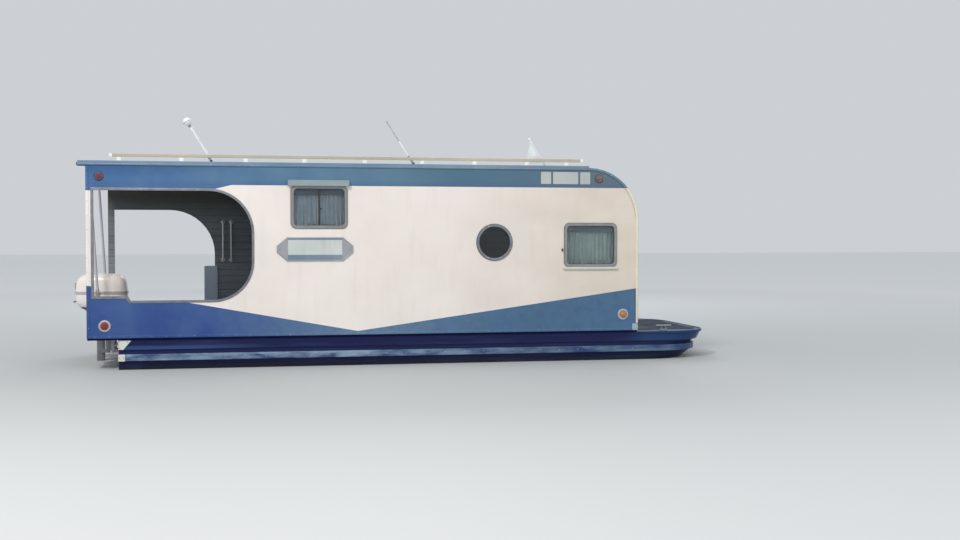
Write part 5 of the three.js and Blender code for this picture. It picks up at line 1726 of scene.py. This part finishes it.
# %% Clamp screws, tilt nuts and propeller nut
CLAMP_Y = 0.079
CLAMP_Z = 0.405
CLAMP_SCREW = [(0, 0.019), (0.05, 0.019), (0.09, 0.0075), (0.9, 0.0075), (0.92, 0.011), (1, 0.010)]
TOMMY_BAR = [(0, 0.0045), (0.04, 0.0075), (0.12, 0.005), (0.88, 0.005), (0.96, 0.0075), (1, 0.0045)]
TILT_PIN_X = -3.77
TILT_PIN_Z = 0.5
PROPELLER_Z = -0.35


def washer(radius):
    """The profile of a plain round end to end."""
    return [(0, radius), (1, radius)]


def hex_nut(radius, chamfered):
    """The profile of a nut, with the radius that its far end is chamfered to."""
    return [(0, radius), (0.85, radius), (1, chamfered)]


clamp_gear = Work()
for sign in SIDES.values():
    y = sign * CLAMP_Y
    clamp_gear.bar((-3.7435, y, CLAMP_Z), (-3.642, y, CLAMP_Z), CLAMP_SCREW, 16)
    clamp_gear.bar((-3.648, y, CLAMP_Z - 0.032), (-3.648, y, CLAMP_Z + 0.032), TOMMY_BAR, 12)
    for near, far, profile, sides in ((0.0882, 0.0920, washer(0.021), 20),
                                      (0.0920, 0.1040, hex_nut(0.016, 0.013), 6)):
        clamp_gear.bar((TILT_PIN_X, sign * near, TILT_PIN_Z), (TILT_PIN_X, sign * far, TILT_PIN_Z),
                       profile, sides)
place("motor_clamp_screws", clamp_gear, STAINLESS)
pad_bolts = Work(cross_surface(-3.618, -1))
for a in (-0.13, -0.045, 0.045, 0.13):
    for u in (0.085, 0.305):
        pad_bolts.turned(a, u, [(0.0145, SEAT), (0.0145, 0.002)], 16)
        pad_bolts.turned(a, u, [(0.011, 0.0021), (0.011, 0.008), (0.009, 0.0095)], 6)
place("motor_bracket_bolts", pad_bolts, STAINLESS)
board = Work(cross_surface(-3.785, -1))
for low_a in (-0.145, 0.092):
    board.plate(rounded(low_a, 0.340, low_a + 0.053, 0.446, 0.004), SEAT, 0.003)
place("motor_board_pads", board, RUBBER)
nut = Work()
for fore, aft, profile, sides in ((-4.1803, -4.186, washer(0.022), 20),
                                  (-4.186, -4.203, hex_nut(0.016, 0.012), 6),
                                  (-4.203, -4.210, [(0, 0.008), (1, 0.007)], 12)):
    nut.bar((fore, 0, PROPELLER_Z), (aft, 0, PROPELLER_Z), profile, sides)
nut.bar((-4.194, 0, PROPELLER_Z - 0.024), (-4.194, 0, PROPELLER_Z + 0.024), washer(0.0018), 8)
place("propeller_nut", nut, STAINLESS, "propeller")
print("meshes so far:", len(bpy.data.meshes))

# %% [markdown]
# ## The helm
# Through the windscreens the console shows. It gets round gauges with plain tick marks on the
# dash, and a throttle box and a small compass on its top. The dash is a slanted face, so its
# surface function carries the slope.

# %% Helm fittings
DASH_LOW = Vector((2.38, 0, 0.90))
DASH_WAY = (Vector((2.50, 0, 1.11)) - DASH_LOW).normalized()
DASH_OUT = Vector((-DASH_WAY.z, 0, DASH_WAY.x))
CONSOLE_TOP = 1.11
WHEEL_CENTRE = Vector((2.44, -0.75, 1.005))
# Two gauges stand one over the other on each side of the wheel: height up the dash and radius.
GAUGE_COLUMNS = (-0.952, -0.545)
GAUGE_ROWS = ((0.165, 0.034), (0.075, 0.026))
GAUGE_RIM = [(-0.004, SEAT), (0.003, SEAT), (0.003, 0.006), (0.0, 0.009), (-0.004, 0.007)]
TICK_HALF = 0.0008
THROTTLE_Y = -0.557
THROTTLE_GRIP = [(0, 0.008), (0.1, 0.012), (0.9, 0.012), (1, 0.008)]
COMPASS = (2.56, -0.93)
COMPASS_BASE = [(0.042, SEAT), (0.042, 0.010), (0.034, 0.022), (0.032, 0.030)]
BOWL_RADIUS = 0.031
BOWL_FOOT = 0.0302
BOWL_RISE = 0.026


def dash_surface(across, up, off):
    """The slanted dash: across, up its slope and out from it."""
    return DASH_LOW + DASH_WAY * up + DASH_OUT * off + Vector((0, across, 0))


rims = Work(dash_surface)
faces = Work(dash_surface)
marks = Work(dash_surface)
for across in GAUGE_COLUMNS:
    for up, radius in GAUGE_ROWS:
        rims.moulding(circle(across, up, radius, 32), GAUGE_RIM)
        faces.turned(across, up, [(radius - 0.003, SEAT), (radius - 0.003, 0.003)], 32)
        inner, outer = radius * 0.62, radius * 0.80
        for step in range(9):
            turn = math.radians(-30 + 30 * step)
            c, s = math.cos(turn), math.sin(turn)
            marks.plate([(across + reach * c - half * s, up + reach * s + half * c)
                         for reach, half in ((inner, TICK_HALF), (inner, -TICK_HALF),
                                             (outer, -TICK_HALF), (outer, TICK_HALF))], 0.0031, 0.0035)
        pointer = (across - radius * 0.42, up + radius * 0.5)
        marks.plate([(across - 0.0012, up), (across + 0.0012, up), pointer], 0.0036, 0.0042)
place("gauge_rims", rims, STAINLESS)
place("gauge_faces", faces, GRIP_BLACK)
place("gauge_marks", marks, FITTING_WHITE)
throttle = Work(deck_surface(CONSOLE_TOP))
throttle.plate(rounded(2.52, -0.585, 2.60, -0.530, 0.012), SEAT, 0.050)
throttle.surface = free_space
throttle.tube([(x, THROTTLE_Y, z) for x, z in ((2.56, 1.155), (2.555, 1.215), (2.548, 1.245))], 0.006)
throttle.bar((2.548, THROTTLE_Y - 0.033, 1.252), (2.548, THROTTLE_Y + 0.033, 1.252), THROTTLE_GRIP)
place("throttle_box", throttle, GRIP_BLACK, edge=0.003)
compass = Work(deck_surface(CONSOLE_TOP))
compass.turned(*COMPASS, COMPASS_BASE, 28)
place("compass_base", compass, GRIP_BLACK)
bowl_turns = [math.pi / 2 * step / 7 for step in range(7)]
bowl = Work(deck_surface(CONSOLE_TOP))
bowl.turned(*COMPASS, [(BOWL_RADIUS * math.cos(turn), BOWL_FOOT + BOWL_RISE * math.sin(turn))
                       for turn in bowl_turns], 28)
place("compass_bowl", bowl, LAMP_OPAL)
wheel_cap = Work()
wheel_cap.bar(WHEEL_CENTRE + DASH_OUT * 0.0842, WHEEL_CENTRE + DASH_OUT * 0.094,
              [(0, 0.024), (0.5, 0.022), (0.85, 0.014), (1, 0.005)], 24)
place("helm_wheel_cap", wheel_cap, STAINLESS, "helm_wheel")
print("dash normal:", [round(value, 3) for value in DASH_OUT])

# %% Print the packed and finished sizes
visual_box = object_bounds()
for label, box in (("packed", cad_box), ("finished", visual_box)):
    print(label, [[round(value, 4) for value in corner] for corner in box])
